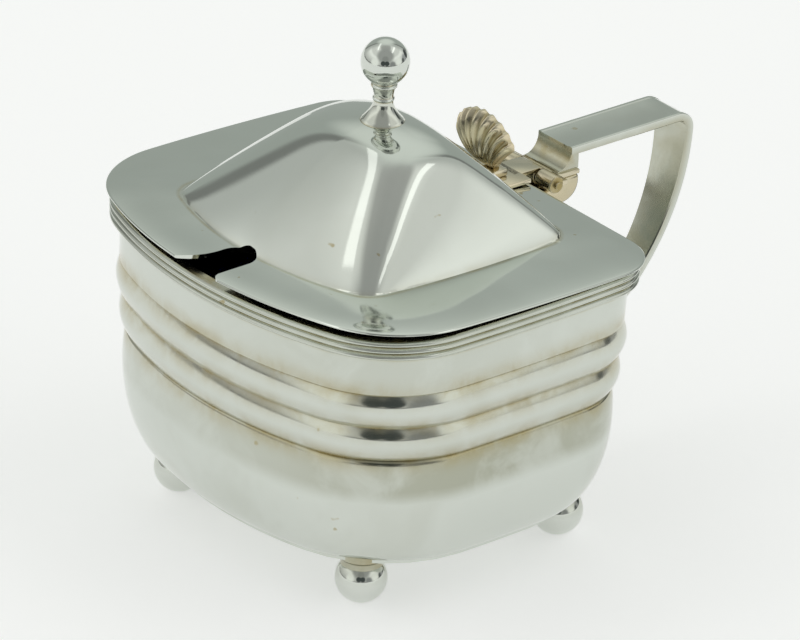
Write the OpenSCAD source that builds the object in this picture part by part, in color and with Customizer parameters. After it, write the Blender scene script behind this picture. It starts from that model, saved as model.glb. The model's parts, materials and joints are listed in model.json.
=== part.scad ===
// Oblong mustard pot with a hinged lid, four ball feet and a strap handle.
// Millimetres, +Z up, +X towards the handle, standing on z = 0.

/* [Plan] */
// Distance of the lid's bowed front from the middle of the feet
lid_front = 39.2; // [37:0.2:42]
// Distance of the lid's straight rear from the middle of the feet
lid_rear = 29.7; // [28:0.1:32]
// Half width of the lid, along the hinge
lid_half_y = 42.5; // [39:0.5:46]
// How far the front bows out past its corners
front_bow = 11; // [8:0.5:13]
// How far the rear bows out past its corners
rear_bow = 0.6; // [0.3:0.1:1.5]
// How far the two sides bow out past their corners
side_bow = 1.5; // [0.8:0.1:3]
// Radius of the lid's front corners
front_corner_r = 19; // [14:0.5:22]
// Radius of the lid's rear corners
rear_corner_r = 10; // [7:0.5:13]
// Share of each inset that the body's rear takes
rear_share = 0.85; // [0.7:0.05:1]

/* [Body] */
// Height of the rim's top above the table
rim_top = 55; // [52:0.2:60]
// Height of the base plate's upper face
base_top = 9.8; // [9.6:0.1:11]
// Thickness of the base plate
base_t = 0.8; // [0.6:0.1:1.1]
// Thickness of the raised wall
wall = 0.9; // [0.7:0.1:1.2]
// Inset of the plain band from the lid's edge
band_inset = 1.9; // [1.6:0.1:2.1]
// Inset of the crease over the upper rib
crease_inset = 2.1; // [2:0.1:2.6]
// How much further in each crease lies than the one above it
crease_step = 0.4; // [0:0.1:0.6]
// Inset of the fullest part of the lower body
bulge_inset = 2.2; // [1.6:0.1:2.6]
// Inset of the wall's foot on the base plate
foot_inset = 8; // [7:0.2:9]
// Height of the reeded rim
rim_h = 3.6; // [3:0.2:5]
// Number of reeds in the rim
reeds = 3; // [2:1:4]
// How far each reed stands out from its groove
reed_rise = 0.6; // [0.3:0.1:0.7]
// Depth of metal behind the reeds' grooves
reed_back = 0.8; // [0.5:0.1:0.9]
// Height of the plain band under the rim
band_h = 7.4; // [5:0.2:8]
// Height of each rib
rib_h = 6.35; // [5.5:0.05:6.8]
// Number of ribs
ribs = 2; // [1:1:2]
// How far each rib stands out from its creases
rib_rise = 0.9; // [0.5:0.1:1.2]
// How far below the lowest crease the body is fullest
bulge_drop = 6.3; // [5:0.1:8]
// How much rounder the corners are at the base than at the lid
corner_growth = 6; // [3:0.5:8]

/* [Feet] */
// Radius of each ball foot
ball_r = 4.5; // [4:0.1:4.8]
// Depth of the worn flat under each ball
ball_wear = 0.12; // [0.08:0.02:0.3]
// Distance of the feet from the middle, along the handle's line
foot_x = 21.5; // [19:0.5:22]
// Inset of the feet from the lid's side edges
foot_side = 17.5; // [15.5:0.5:20.5]
// Radius of the neck over each ball
neck_r = 3.65; // [3.2:0.05:3.9]
// Thickness of the pad on top of each neck
pad_t = 0.7; // [0.4:0.1:0.9]
// How far the pad stands out from the neck
pad_lip = 0.5; // [0.2:0.1:0.8]

/* [Lid] */
// Thickness of the lid's sheet
lid_t = 0.9; // [0.7:0.1:1.2]
// Gap between the lid and the rim when the lid is level
lid_gap = 0.3; // [0.3:0.05:0.6]
// How far the lid stands open at rest on its worn hinge, in degrees
lid_rest = 1; // [0:0.1:1.5]
// Height of the dome's crown over the flange
dome_h = 17.4; // [15:0.2:19]
// Distance of the dome's front edge from the middle
dome_front = 28.6; // [27:0.2:29]
// Distance of the dome's rear edge from the middle
dome_rear = 21.7; // [20:0.1:22]
// Half width of the dome's base
dome_half_y = 27; // [25:0.5:32]
// Bow of the dome's front edge
dome_front_bow = 6; // [4:0.5:7]
// Corner radius of the dome's base
dome_corner_r = 4.5; // [3:0.5:7]
// Slope of the dome's front face
front_slope = 0.85; // [0.75:0.01:1]
// Slope of the dome's rear face
rear_slope = 1.2; // [1:0.05:1.4]
// Slope of the dome's two side faces
side_slope = 1.3; // [1:0.05:1.5]
// Radius of the shallow crown over the faces
crown_r = 50; // [40:1:70]
// Softness of the ridges between the faces
ridge_soft = 1.4; // [0.8:0.1:1.8]
// Softness of the shoulder between the faces and the crown
crown_soft = 0.7; // [0.4:0.1:1.2]
// Half width of the spoon cut
cut_half = 2.9; // [2.3:0.1:3.4]
// Distance of the spoon cut's middle from the centre line
cut_shift = -1.3; // [-2:0.1:2]
// How far the spoon cut's round end bites into the dome's foot
cut_bite = 1; // [0:0.1:1.2]
// Radius of the flared lips of the spoon cut
cut_flare_r = 2; // [1:0.2:3]

/* [Finial] */
// Radius of the finial's ball
finial_r = 4.2; // [3.6:0.1:4.8]
// Height of the stem from the dome to the ball's seat
stem_h = 7; // [6.6:0.2:9]
// Radius of the stem's foot on the dome
stem_foot_r = 4.1; // [3.4:0.05:4.3]
// Radius of the stem's waist
stem_waist_r = 1.7; // [1.4:0.1:2]
// Radius of the collar under the ball
collar_r = 2.3; // [2.1:0.1:2.6]
// Radius of the tenon through the dome
tenon_r = 1.2; // [0.9:0.1:1.4]
// Thickness of the washer inside the dome
washer_t = 0.6; // [0.4:0.1:1]

/* [Hinge] */
// Radius of the hinge's knuckles
knuckle_r = 1.6; // [1.4:0.1:1.9]
// Radius of the hinge pin
pin_r = 0.7; // [0.5:0.05:0.9]
// Running clearance round the pin
pin_clear = 0.05; // [0.03:0.01:0.08]
// Length of the hinge
hinge_len = 15; // [12:0.5:18]
// Length of the middle knuckle
middle_len = 5.4; // [4:0.2:6.4]
// Gap between neighbouring knuckles
knuckle_gap = 0.3; // [0.2:0.05:0.4]
// Clearance round moving hinge parts
hinge_clear = 0.35; // [0.3:0.05:0.5]
// Distance of the hinge's axis behind the lid's rear edge
hinge_back = 3.9; // [3:0.1:4.5]
// Height of the hinge's axis over the rim's top
hinge_rise = 0.4; // [0.2:0.05:0.6]
// Thickness of both hinge leaves
leaf_t = 0.9; // [0.7:0.1:1.1]
// Width of the lid's leaf on the flange
lid_leaf_w = 11; // [9:0.5:13]

/* [Thumbpiece] */
// Length of the shell's middle flute
shell_len = 13; // [11:0.1:15]
// Half of the fan's angle, in degrees
shell_fan = 46; // [40:1:56]
// Number of flutes in the shell
flutes = 9; // [5:2:11]
// Thickness of the shell
shell_t = 1.3; // [1.1:0.1:2]
// Depth of the flutes
flute_depth = 0.45; // [0.2:0.05:0.6]
// Distance of the shell in front of the lid's rear edge
shell_in = 4.6; // [4.2:0.1:5]
// Half width of the shell's root on its block
shell_root = 1; // [0.8:0.1:2]
// Height of the block under the shell
shell_foot_h = 1.4; // [1:0.1:2]
// How far the shell's root leans towards the finial, in degrees
shell_lean = 62; // [50:1:64]
// How far the shell curls back on its way up, in degrees
shell_curl = 95; // [70:1:110]

/* [Handle] */
// Distance of the handle's rear from the middle of the feet
handle_reach = 66.8; // [64:0.2:70]
// Height of the strap's top over the rim's top
strap_rise = 5; // [3.8:0.1:6]
// Width of the strap along its top
strap_w = 9; // [8:0.1:10]
// Width of the strap at its lower end
strap_end_w = 4.8; // [4:0.1:7]
// Thickness of the strap
strap_t = 1.6; // [1.2:0.1:1.8]
// Outer radius of the strap's upper rear corner
strap_corner_r = 3.6; // [3:0.2:5]
// Outer radius of the strap's back
back_r = 43; // [40:0.5:45]
// Angle through which the back curves before its lower bend, in degrees
back_turn = 46; // [43:1:49]
// Outer radius of the lower bend
lower_r = 28; // [26:0.5:30]
// Distance of the riser behind the hinge's axis
riser_back = 5.4; // [5.2:0.1:6.5]
// Radius of the cove in front of the riser
cove_r = 1.8; // [1.2:0.1:2]
// Length of the cove's toe on the hinge leaf
cove_toe = 1; // [0.6:0.1:1.2]
// Width of the bracket behind the rim
bracket_w = 10; // [9:0.5:12]
// Height of the bracket behind the rim
bracket_h = 4.8; // [4:0.2:7]
// Thickness of the pad between the strap's end and the body
handle_pad_t = 1; // [0.8:0.1:1.4]
// How far that pad stands out round the strap's end
handle_pad_lip = 1.4; // [0.8:0.1:2]

/* [Liner] */
// Clearance of the glass from the wall's creases
liner_clear = 0.7; // [0.5:0.1:1.2]
// Thickness of the glass
glass_t = 2; // [1.6:0.1:2.6]
// Depth of the glass's top below the rim's top
liner_drop = 4; // [2:0.5:8]
// Height of the glass's rounded foot
liner_foot_h = 12; // [11:0.5:14]
// How far the glass's flat bottom is drawn in
liner_foot_in = 10; // [9:0.5:12]

/* [Hidden] */
$fn = 64;
silver = "#c9ccc6";
bright = "#dcded9";
tarnished = "#b8b19a";
blue_glass = "#1d2f8f";

// The part's middle lies between the lid's front and the handle's rear
pot_x = (lid_front - handle_reach) / 2;
// Points along a quarter's end arc, corner arc and side arc
end_steps = 5;
corner_steps = 6;
side_steps = 5;
// Steps round a rib, the lower body and a reed
rib_steps = 6;
under_steps = 9;
reed_steps = 4;

// Heights on the body
rim_base = rim_top - rim_h;
rib_top = rim_base - band_h;
bulge_top = rib_top - ribs * rib_h;
bulge_z = bulge_top - bulge_drop;
under_h = bulge_z - base_top;
base_under = base_top - base_t;
// The deepest crease is the narrowest place above the bulge
deep_inset = crease_inset + ribs * crease_step;
// The reeds' crests are the body's outermost line
crest_inset = band_inset - reed_back - reed_rise;
ball_z = ball_r - ball_wear;
foot_y = lid_half_y - foot_side;

// Hinge
hinge_x = lid_rear + hinge_back;
hinge_z = rim_top + hinge_rise;
leaf_under = hinge_z - leaf_t / 2;
leaf_top = leaf_under + leaf_t;
lid_under = rim_top + lid_gap;
flange_top = lid_under + lid_t;
lid_leaf_top = flange_top + leaf_t;
clear_x = knuckle_r + hinge_clear;
outer_knuckle = (hinge_len - middle_len) / 2 - knuckle_gap;

// Dome and finial
// The stem's flat seat is let into the crown
apex = flange_top + dome_h - 0.3;
dome_steps = [1, 0.98, 0.94, 0.88, 0.8, 0.72, 0.64, 0.57, 0.5, 0.43, 0.34, 0.25];
top_r = stem_foot_r + 0.2;
hole_r = tenon_r + 0.05;
pin_end_r = tenon_r - 0.3;
seat_r = collar_r - 0.3;
seat_z = apex + stem_h;
pin_end = seat_z + finial_r * 0.6;
finial_z = seat_z + sqrt(finial_r * finial_r - seat_r * seat_r);

// Handle
strap_top = rim_top + strap_rise;
riser_x = hinge_x + riser_back;
riser_rear = riser_x + strap_t;
back_centre = [handle_reach - back_r, strap_top - strap_corner_r];
bend_start = back_centre + back_r * [cos(back_turn), -sin(back_turn)];
lower_centre = bend_start - lower_r * [cos(back_turn), -sin(back_turn)];
strap_end_z = lower_centre[1] - lower_r;
strap_taper = (strap_w - strap_end_w) / (strap_top - strap_end_z);
pad_h = strap_t + 2 * handle_pad_lip;
pad_z = strap_end_z + strap_t / 2;
// The pad's face stands clear of the wall where the wall is fullest behind it
pad_face = lid_rear - rear_share * under_inset(pad_z + pad_h / 2) + handle_pad_t;

// Thumbpiece
shell_x = lid_rear - shell_in;

// Radius of an arc of half chord c that rises by s
function arc_r(c, s) = (c * c + s * s) / (2 * s);

// Middle of the corner arc that rolls inside the end arc and the side arc
function corner_middle(a, b, se, ss, rc) =
    let (re = arc_r(b, se), rs = arc_r(a, ss), e = [a - re, 0], s = [0, b - rs],
         r0 = re - rc, r1 = rs - rc, l = norm(s - e), u = (s - e) / l,
         k = (r0 * r0 - r1 * r1 + l * l) / (2 * l), h = sqrt(max(r0 * r0 - k * k, 0)))
    e + u * k + h * [-u[1], u[0]];

// Points on an arc round c, without its last point
function arc(c, r, a0, a1, n) =
    [for (i = [0 : n - 1]) let (t = a0 + (a1 - a0) * i / n) c + r * [cos(t), sin(t)]];

// First quarter of a cushion outline, from the end's middle to the side's
function quarter(a, b, se, ss, rc) =
    let (re = arc_r(b, se), rs = arc_r(a, ss), e = [a - re, 0], s = [0, b - rs],
         c = corner_middle(a, b, se, ss, rc),
         t0 = atan2(c[1] - e[1], c[0] - e[0]), t1 = atan2(c[1] - s[1], c[0] - s[0]))
    concat(arc(e, re, 0, t0, end_steps), arc(c, rc, t0, t1, corner_steps),
           arc(s, rs, t1, 90, side_steps));

function reversed(v) = [for (i = [len(v) - 1 : -1 : 0]) v[i]];

function but_first(v) = [for (i = [1 : len(v) - 1]) v[i]];

// Whole outline, anticlockwise from the rear's middle: front f and rear r from the
// middle of the feet, half width b, bows and corner radii of front and rear
function cushion(f, r, b, bow_f, bow_r, bow_s, rf, rr) =
    let (a = (f + r) / 2, m = (r - f) / 2, k = 0.8 * min(a, b),
         qr = quarter(a, b, bow_r, bow_s, min(rr, k)), qf = quarter(a, b, bow_f, bow_s, min(rf, k)))
    concat([for (p = qr) [m + p[0], p[1]]], [[m, b]],
           [for (p = reversed(but_first(qf))) [m - p[0], p[1]]],
           [for (p = qf) [m - p[0], -p[1]]], [[m, -b]],
           [for (p = reversed(but_first(qr))) [m + p[0], -p[1]]]);

// Lid outline drawn in by d, with corners as round as the body has them at height z
function plan(d, z) =
    let (b = lid_half_y - d, k = b / lid_half_y, g = corner_growth * (rim_top - z) / (rim_top - base_top))
    cushion(lid_front - d, lid_rear - rear_share * d, b, front_bow * k, rear_bow * k, side_bow * k,
            front_corner_r + g, rear_corner_r + g);

function ring(points, z) = [for (p = points) [p[0], p[1], z]];

// Ring of the body at height z, drawn in by d
function body_ring(d, z) = ring(plan(d, z), z);

// Inset of the lower body's outside at height z
function under_inset(z) =
    let (u = min(max((bulge_z - z) / under_h, 0), 1))
    bulge_inset + (foot_inset - bulge_inset) * (1 - sqrt(1 - u * u));

// Closed skin over a loop of rings with equal counts
module loop_skin(rings) {
    n = len(rings[0]);
    m = len(rings);
    polyhedron(
        points = [for (r = rings) each r],
        faces = [for (i = [0 : m - 1], j = [0 : n - 1])
            let (k = (i + 1) % m, l = (j + 1) % n)
            each [[i * n + j, i * n + l, k * n + l], [i * n + j, k * n + l, k * n + j]]]);
}

// Skin over a row of rings from top to bottom, closed flat at both ends
module capped_skin(rings) {
    n = len(rings[0]);
    m = len(rings);
    polyhedron(
        points = [for (r = rings) each r],
        faces = concat(
            [[for (j = [n - 1 : -1 : 0]) j]],
            [for (i = [0 : m - 2], j = [0 : n - 1])
                let (l = (j + 1) % n)
                each [[i * n + j, i * n + l, (i + 1) * n + l],
                      [i * n + j, (i + 1) * n + l, (i + 1) * n + j]]],
            [[for (j = [0 : n - 1]) (m - 1) * n + j]]));
}

// The middle of the feet stands at pot_x
module place() {
    translate([pot_x, 0, 0]) children();
}

// What rides on the lid is turned about the hinge to its rest angle
module on_lid() {
    place() translate([hinge_x, 0, hinge_z]) rotate([0, lid_rest, 0])
        translate([-hinge_x, 0, -hinge_z]) children();
}

// Cylinder along Y between two places
module rod(r, y0, y1) {
    translate([0, y0, 0]) rotate([-90, 0, 0]) cylinder(r = r, h = y1 - y0);
}

// A side profile in X and Z, as wide as w about the middle
module side_plate(w) {
    rotate([90, 0, 0]) linear_extrude(w, center = true) children();
}

// Inset and height down the lower body, from its fullest line to the wall's foot
function under_line() =
    [for (k = [0 : under_steps])
        let (t = 90 * k / under_steps)
        [bulge_inset + (foot_inset - bulge_inset) * (1 - cos(t)), bulge_z - under_h * sin(t)]];

// Inset and height down the ribs and over the bulge
function rib_line() = concat(
    [for (i = [0 : ribs - 1], k = [0 : rib_steps - 1])
        let (f = k / rib_steps)
        [crease_inset + (i + f) * crease_step - rib_rise * sin(180 * f), rib_top - rib_h * (i + f)]],
    [for (k = [0 : 3])
        let (t = 90 * k / 4)
        [bulge_inset + (deep_inset - bulge_inset) * (1 - sin(t)), bulge_top - bulge_drop * (1 - cos(t))]]);

// The whole outside, and the inside one sheet further in
function outside() = concat([[band_inset, rim_top], [band_inset, rib_top + 0.4]], rib_line(), under_line());

function inside() = concat(
    [[foot_inset + 2 * wall, base_top], [foot_inset + 2 * wall, base_top + wall]],
    [for (k = [under_steps - 1 : -1 : 0])
        let (p = under_line()[k])
        [p[0] + wall, bulge_z - (bulge_z - p[1]) * (1 - wall / under_h)]],
    [for (p = reversed(rib_line())) [p[0] + wall, p[1]]],
    [[band_inset + wall, rib_top + 0.4], [band_inset + wall, rim_top]]);

// Raised wall with its plain band, ribs and bulging lower part
module body_shell() {
    color(silver) place()
        loop_skin([for (p = concat(outside(), inside())) body_ring(p[0], p[1])]);
}

module base_outline() {
    translate([0, 0, base_under]) linear_extrude(base_t) polygon(plan(foot_inset - 0.3, base_top));
}

// Flat bottom under the wall's foot, with its edge showing
module base_plate() {
    color(silver) place() base_outline();
}

// The space the lower body and its base plate take, for what is fitted to them
module lower_body() {
    capped_skin([for (p = under_line()) body_ring(p[0], p[1])]);
    base_outline();
}

// Reeded wire round the outside of the mouth
module rim_moulding() {
    steps = reeds * reed_steps;
    outer = [for (k = [0 : steps])
        [band_inset - reed_back - reed_rise * abs(sin(180 * k / reed_steps)), rim_top - rim_h * k / steps]];
    back = [[band_inset, rim_base], [band_inset, rim_top]];
    color(bright) place() loop_skin([for (p = concat(outer, back)) ring(plan(p[0], p[1]), p[1])]);
}

// Ball foot with a small worn flat
module foot_ball(sx, sy) {
    color(bright) place() translate([sx * foot_x, sy * foot_y, ball_z])
        difference() {
            sphere(ball_r);
            translate([0, 0, -2 * ball_r - ball_z]) cylinder(r = ball_r, h = 2 * ball_r);
        }
}

// Neck that cups the ball's top, with its pad fitted under the body
module foot_neck(sx, sy) {
    low = ball_z + 0.45 * ball_r;
    color(silver) place() difference() {
        translate([sx * foot_x, sy * foot_y, 0]) {
            translate([0, 0, low]) cylinder(r = neck_r, h = base_top + 2 * pad_t - low);
            translate([0, 0, base_under - pad_t / 2])
                cylinder(r = neck_r + pad_lip, h = base_t + 1.5 * pad_t);
        }
        translate([sx * foot_x, sy * foot_y, ball_z]) sphere(ball_r);
        lower_body();
    }
}

// Dome's base outline drawn in by d
function dome_base(d) =
    cushion(dome_front - d, dome_rear - d, dome_half_y - d, dome_front_bow, rear_bow, side_bow,
            dome_corner_r, dome_corner_r);

// The lower of two heights, with their meeting softened by e
function soft_min(a, b, e) = (a + b) / 2 - norm([(a - b) / 2, e]);

// How far an arc of radius r falls away at x from its middle
function sag(r, x) = r - sqrt(r * r - x * x);

// Height of the dome at p: the lowest of its four faces and its crown, all drawn in by d
function dome_z(p, d) =
    let (f = dome_front - d, r = dome_rear - d, b = dome_half_y - d,
         zf = front_slope * (f + p[0] - sag(arc_r(b, dome_front_bow), p[1])),
         zr = rear_slope * (r - p[0] - sag(arc_r(b, rear_bow), p[1])),
         zs = side_slope * (b - abs(p[1]) - sag(arc_r((f + r) / 2, side_bow), p[0] - (r - f) / 2)),
         faces = soft_min(soft_min(zf, zr, ridge_soft), zs, ridge_soft))
    max(0, soft_min(faces, dome_h - p * p / (2 * crown_r), crown_soft));

// Ring of the dome: its base drawn in by d and shrunk to a share s, lifted to the dome over height z
function dome_ring(s, d, z) =
    [for (p = dome_base(d)) concat(s * p, [z + dome_z(s * p, d)])];

function round_ring(r, z) = [for (p = dome_base(0)) concat(p * r / norm(p), [z])];

// Flange and dome of one sheet, with the spoon cut
module lid_cover() {
    outer = concat(
        [round_ring(hole_r, apex), round_ring(top_r, apex)],
        [for (s = reversed(dome_steps)) dome_ring(s, 0, flange_top)],
        [ring(plan(0.25, rim_top), flange_top), ring(plan(0, rim_top), flange_top - 0.25),
         ring(plan(0, rim_top), lid_under)]);
    inner = concat(
        [for (s = dome_steps) dome_ring(s, lid_t, lid_under)],
        [round_ring(top_r - lid_t / 2, apex - lid_t), round_ring(hole_r, apex - lid_t)]);
    color(silver) on_lid() difference() {
        loop_skin(concat(outer, inner));
        translate([0, 0, lid_under - 1]) linear_extrude(lid_t + 2) spoon_cut();
    }
}

// Slot with a round end by the dome and two flared lips at the lid's edge
module spoon_cut() {
    edge = lid_front + 1;
    inner_end = dome_front - cut_bite + cut_half;
    flare_x = lid_front - 0.3;
    translate([0, cut_shift]) {
        translate([-inner_end, 0]) circle(cut_half);
        translate([-edge, -cut_half]) square([edge - inner_end, 2 * cut_half]);
        for (s = [-1, 1])
            difference() {
                translate([-edge, s > 0 ? cut_half - 0.01 : -cut_half - cut_flare_r + 0.01])
                    square([edge - flare_x + cut_flare_r, cut_flare_r]);
                translate([-flare_x + cut_flare_r, s * (cut_half + cut_flare_r)]) circle(cut_flare_r);
            }
    }
}

// Turned stem: riveted tenon, flared foot, waist with a ring, collar and the ball's pin
module finial_stem() {
    under = apex - lid_t - washer_t;
    flare_h = 0.5 * stem_h;
    flare = [for (k = [0 : 8])
        let (t = 90 * k / 8)
        [stem_waist_r + (stem_foot_r - stem_waist_r) * (1 - sin(t)),
         apex + 0.25 + (flare_h - 0.25) * (1 - cos(t))]];
    color(silver) on_lid() rotate_extrude() polygon(concat(
        [[0, under - 0.7], [tenon_r + 0.5, under - 0.7], [tenon_r + 0.7, under - 0.3], [tenon_r + 0.7, under],
         [tenon_r, under], [tenon_r, apex], [stem_foot_r, apex]],
        flare,
        [[stem_waist_r, apex + flare_h + 0.2], [stem_waist_r + 0.2, apex + flare_h + 0.4],
         [stem_waist_r + 0.2, apex + flare_h + 0.7], [stem_waist_r, apex + flare_h + 0.9],
         [stem_waist_r + 0.1, seat_z - 1.6], [stem_waist_r + 0.3, seat_z - 1], [collar_r, seat_z - 0.9],
         [collar_r, seat_z - 0.3], [seat_r, seat_z], [pin_end_r, seat_z], [pin_end_r, pin_end], [0, pin_end]]));
}

// Ball of the finial, seated on the collar and bored for the stem's pin
module finial_ball() {
    color(bright) on_lid() difference() {
        translate([0, 0, finial_z]) sphere(finial_r);
        translate([0, 0, seat_z - finial_r]) cylinder(r = finial_r, h = finial_r);
        translate([0, 0, seat_z - 1]) cylinder(r = pin_end_r, h = pin_end - seat_z + 1);
    }
}

// Washer under the dome's top, held by the riveted tenon
module finial_washer() {
    color(tarnished) on_lid() translate([0, 0, apex - lid_t - washer_t]) difference() {
        cylinder(r = top_r - 0.6, h = washer_t);
        translate([0, 0, -1]) cylinder(r = tenon_r, h = washer_t + 2);
    }
}

// Wave across the fan, one crest to a flute
function flute_wave(t) = cos(180 * flutes * t / shell_fan);

// How far forward and how high a curled flute of unit length has come at a share v of it
function curl_out(v) = (cos(shell_lean - shell_curl * v) - cos(shell_lean)) * 180 / (PI * shell_curl);
function curl_up(v) = (sin(shell_lean) - sin(shell_lean - shell_curl * v)) * 180 / (PI * shell_curl);

// A point of the shell: t across the fan, v up it from its flat root, in front or behind
function shell_point(t, v, in_front) =
    let (r = shell_len * (0.98 + 0.02 * flute_wave(t)) * cos(0.92 * t),
         x = in_front ? -shell_t / 2 - flute_depth * (1 + flute_wave(t)) * v : shell_t / 2)
    [x - r * cos(t) * curl_out(v), (1 - v) * shell_root * t / shell_fan + v * r * sin(t),
     r * cos(t) * curl_up(v)];

// Fluted shell, closed all round, leaning on the block under it
module thumbpiece() {
    across = flutes * 6;
    up = 7;
    levels = [for (k = [0 : up]) k / up];
    color(tarnished) on_lid() translate([shell_x, 0, lid_leaf_top + shell_foot_h])
        capped_skin([for (i = [0 : across])
            let (t = shell_fan * (1 - 2 * i / across))
            concat([for (v = levels) shell_point(t, v, true)],
                   [for (v = reversed(levels)) shell_point(t, v, false)])]);
}

// Block that carries the shell on the lid's leaf
module thumbpiece_foot() {
    color(tarnished) on_lid() translate([shell_x - 1.9, -2.4, lid_leaf_top])
        cube([3.4, 4.8, shell_foot_h]);
}

// Lid's leaf on the flange, with the middle knuckle
module hinge_leaf_lid() {
    front = shell_x - 2.2;
    color(tarnished) on_lid() difference() {
        union() {
            translate([front, -lid_leaf_w / 2, flange_top])
                cube([lid_rear - 0.3 - front, lid_leaf_w, leaf_t]);
            translate([front, -middle_len / 2, flange_top]) cube([hinge_x - front, middle_len, leaf_t]);
            translate([hinge_x, 0, hinge_z]) rod(knuckle_r, -middle_len / 2, middle_len / 2);
        }
        translate([hinge_x, 0, hinge_z]) rod(pin_r + pin_clear, -hinge_len, hinge_len);
    }
}

// Body's leaf on the bracket, with the two outer knuckles
module hinge_leaf_body() {
    inner_y = middle_len / 2 + knuckle_gap;
    color(tarnished) place() translate([hinge_x, 0, hinge_z]) difference() {
        union() {
            translate([clear_x, -bracket_w / 2, -leaf_t / 2])
                cube([riser_rear - hinge_x - clear_x, bracket_w, leaf_t]);
            for (y = [inner_y, -hinge_len / 2])
                translate([0, y, 0]) {
                    rod(knuckle_r, 0, outer_knuckle);
                    translate([0, 0, -leaf_t / 2]) cube([clear_x + 0.5, outer_knuckle, leaf_t]);
                }
        }
        rod(pin_r + pin_clear, -hinge_len, hinge_len);
    }
}

// Pin through the knuckles
module hinge_pin() {
    color(silver) place() translate([hinge_x, 0, hinge_z])
        rod(pin_r, -hinge_len / 2 - 0.3, hinge_len / 2 + 0.3);
}

// Stepped block behind the rim that carries the hinge and the handle
module handle_bracket() {
    low = leaf_under - bracket_h;
    step_z = hinge_z - clear_x;
    front = lid_rear - 4;
    color(silver) place() difference() {
        side_plate(bracket_w) polygon([
            [front, low], [riser_rear, low], [riser_rear, leaf_under], [hinge_x + clear_x, leaf_under],
            [hinge_x + clear_x, step_z], [front, step_z]]);
        translate([0, 0, low - 1]) linear_extrude(bracket_h + 2) polygon(plan(crest_inset, rim_top));
    }
}

// Outer line of the strap's corner, back and lower bend, drawn in by d
function strap_line(d) = concat(
    arc([handle_reach - strap_corner_r, strap_top - strap_corner_r], strap_corner_r - d, 90, 0, 8),
    arc(back_centre, back_r - d, 0, -back_turn, 12),
    arc(lower_centre, lower_r - d, -back_turn, -90, 8),
    [[lower_centre[0], strap_end_z + d]]);

// Strap: cove and riser on the leaf, level top, curved back and lower bend, narrowing downwards
module handle_strap() {
    toe_x = riser_x - cove_r - cove_toe;
    tail_x = min(pad_face, lower_centre[0]) - strap_t;
    outline = concat(
        [[toe_x, leaf_top], [toe_x, leaf_top + 0.3]],
        arc([riser_x - cove_r, leaf_top + cove_r + 0.3], cove_r, -90, 0, 6),
        [[riser_x, strap_top - 0.4], [riser_x + 0.4, strap_top]],
        strap_line(0), [[tail_x, strap_end_z], [tail_x, strap_end_z + strap_t]],
        reversed(strap_line(strap_t)),
        [[riser_rear, strap_top - strap_t], [riser_rear, leaf_top]]);
    half_low = (strap_end_w - strap_taper) / 2;
    half_high = (strap_w + strap_taper) / 2;
    color(silver) place() intersection() {
        side_plate(2 * strap_w) polygon(outline);
        rotate([90, 0, 90]) linear_extrude(handle_reach + 1) polygon([
            [-half_low, strap_end_z - 1], [half_low, strap_end_z - 1],
            [half_high, strap_top + 1], [-half_high, strap_top + 1]]);
        strap_side();
    }
}

// Everything behind the face of the strap's pad
module strap_side() {
    translate([pad_face, -strap_w, 0]) cube([handle_reach, 2 * strap_w, 2 * strap_top]);
}

// Pad between the strap's lower end and the body's wall
module handle_pad() {
    w = strap_end_w + 2 * handle_pad_lip;
    color(silver) place() difference() {
        translate([pad_face - 6, -w / 2, pad_z - pad_h / 2]) cube([6, w, pad_h]);
        lower_body();
    }
}

// Lift-out glass: round foot, straight wall and flat rim
module glass_liner() {
    outer_d = deep_inset + wall + liner_clear;
    foot_z = base_top + liner_foot_h;
    top = rim_top - liner_drop;
    foot = [for (k = [0 : 6]) 90 * k / 6];
    inner = concat(
        [for (t = reversed(foot)) [outer_d + glass_t + (liner_foot_in - glass_t) * (1 - cos(t)),
                                   foot_z - (liner_foot_h - glass_t) * sin(t)]],
        [[outer_d + glass_t, top - 0.6], [outer_d + glass_t - 0.6, top]]);
    outer = concat(
        [[outer_d + 0.6, top], [outer_d, top - 0.6]],
        [for (t = foot) [outer_d + liner_foot_in * (1 - cos(t)), foot_z - liner_foot_h * sin(t)]]);
    color(blue_glass) place() capped_skin([for (p = concat(inner, outer)) body_ring(p[0], p[1])]);
}

body_shell();
base_plate();
rim_moulding();
foot_ball(-1, 1);  // foot_ball_front_left
foot_ball(-1, -1);  // foot_ball_front_right
foot_ball(1, 1);  // foot_ball_rear_left
foot_ball(1, -1);  // foot_ball_rear_right
foot_neck(-1, 1);  // foot_neck_front_left
foot_neck(-1, -1);  // foot_neck_front_right
foot_neck(1, 1);  // foot_neck_rear_left
foot_neck(1, -1);  // foot_neck_rear_right
lid_cover();
finial_stem();
finial_ball();
finial_washer();
thumbpiece();
thumbpiece_foot();
hinge_leaf_lid();
hinge_leaf_body();
hinge_pin();
handle_bracket();
handle_strap();
handle_pad();
glass_liner();
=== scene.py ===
"""Silver mustard pot with a hinged lid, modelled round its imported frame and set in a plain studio."""

import json
import math

import bmesh
import bpy
from mathutils import Matrix, Vector


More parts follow.
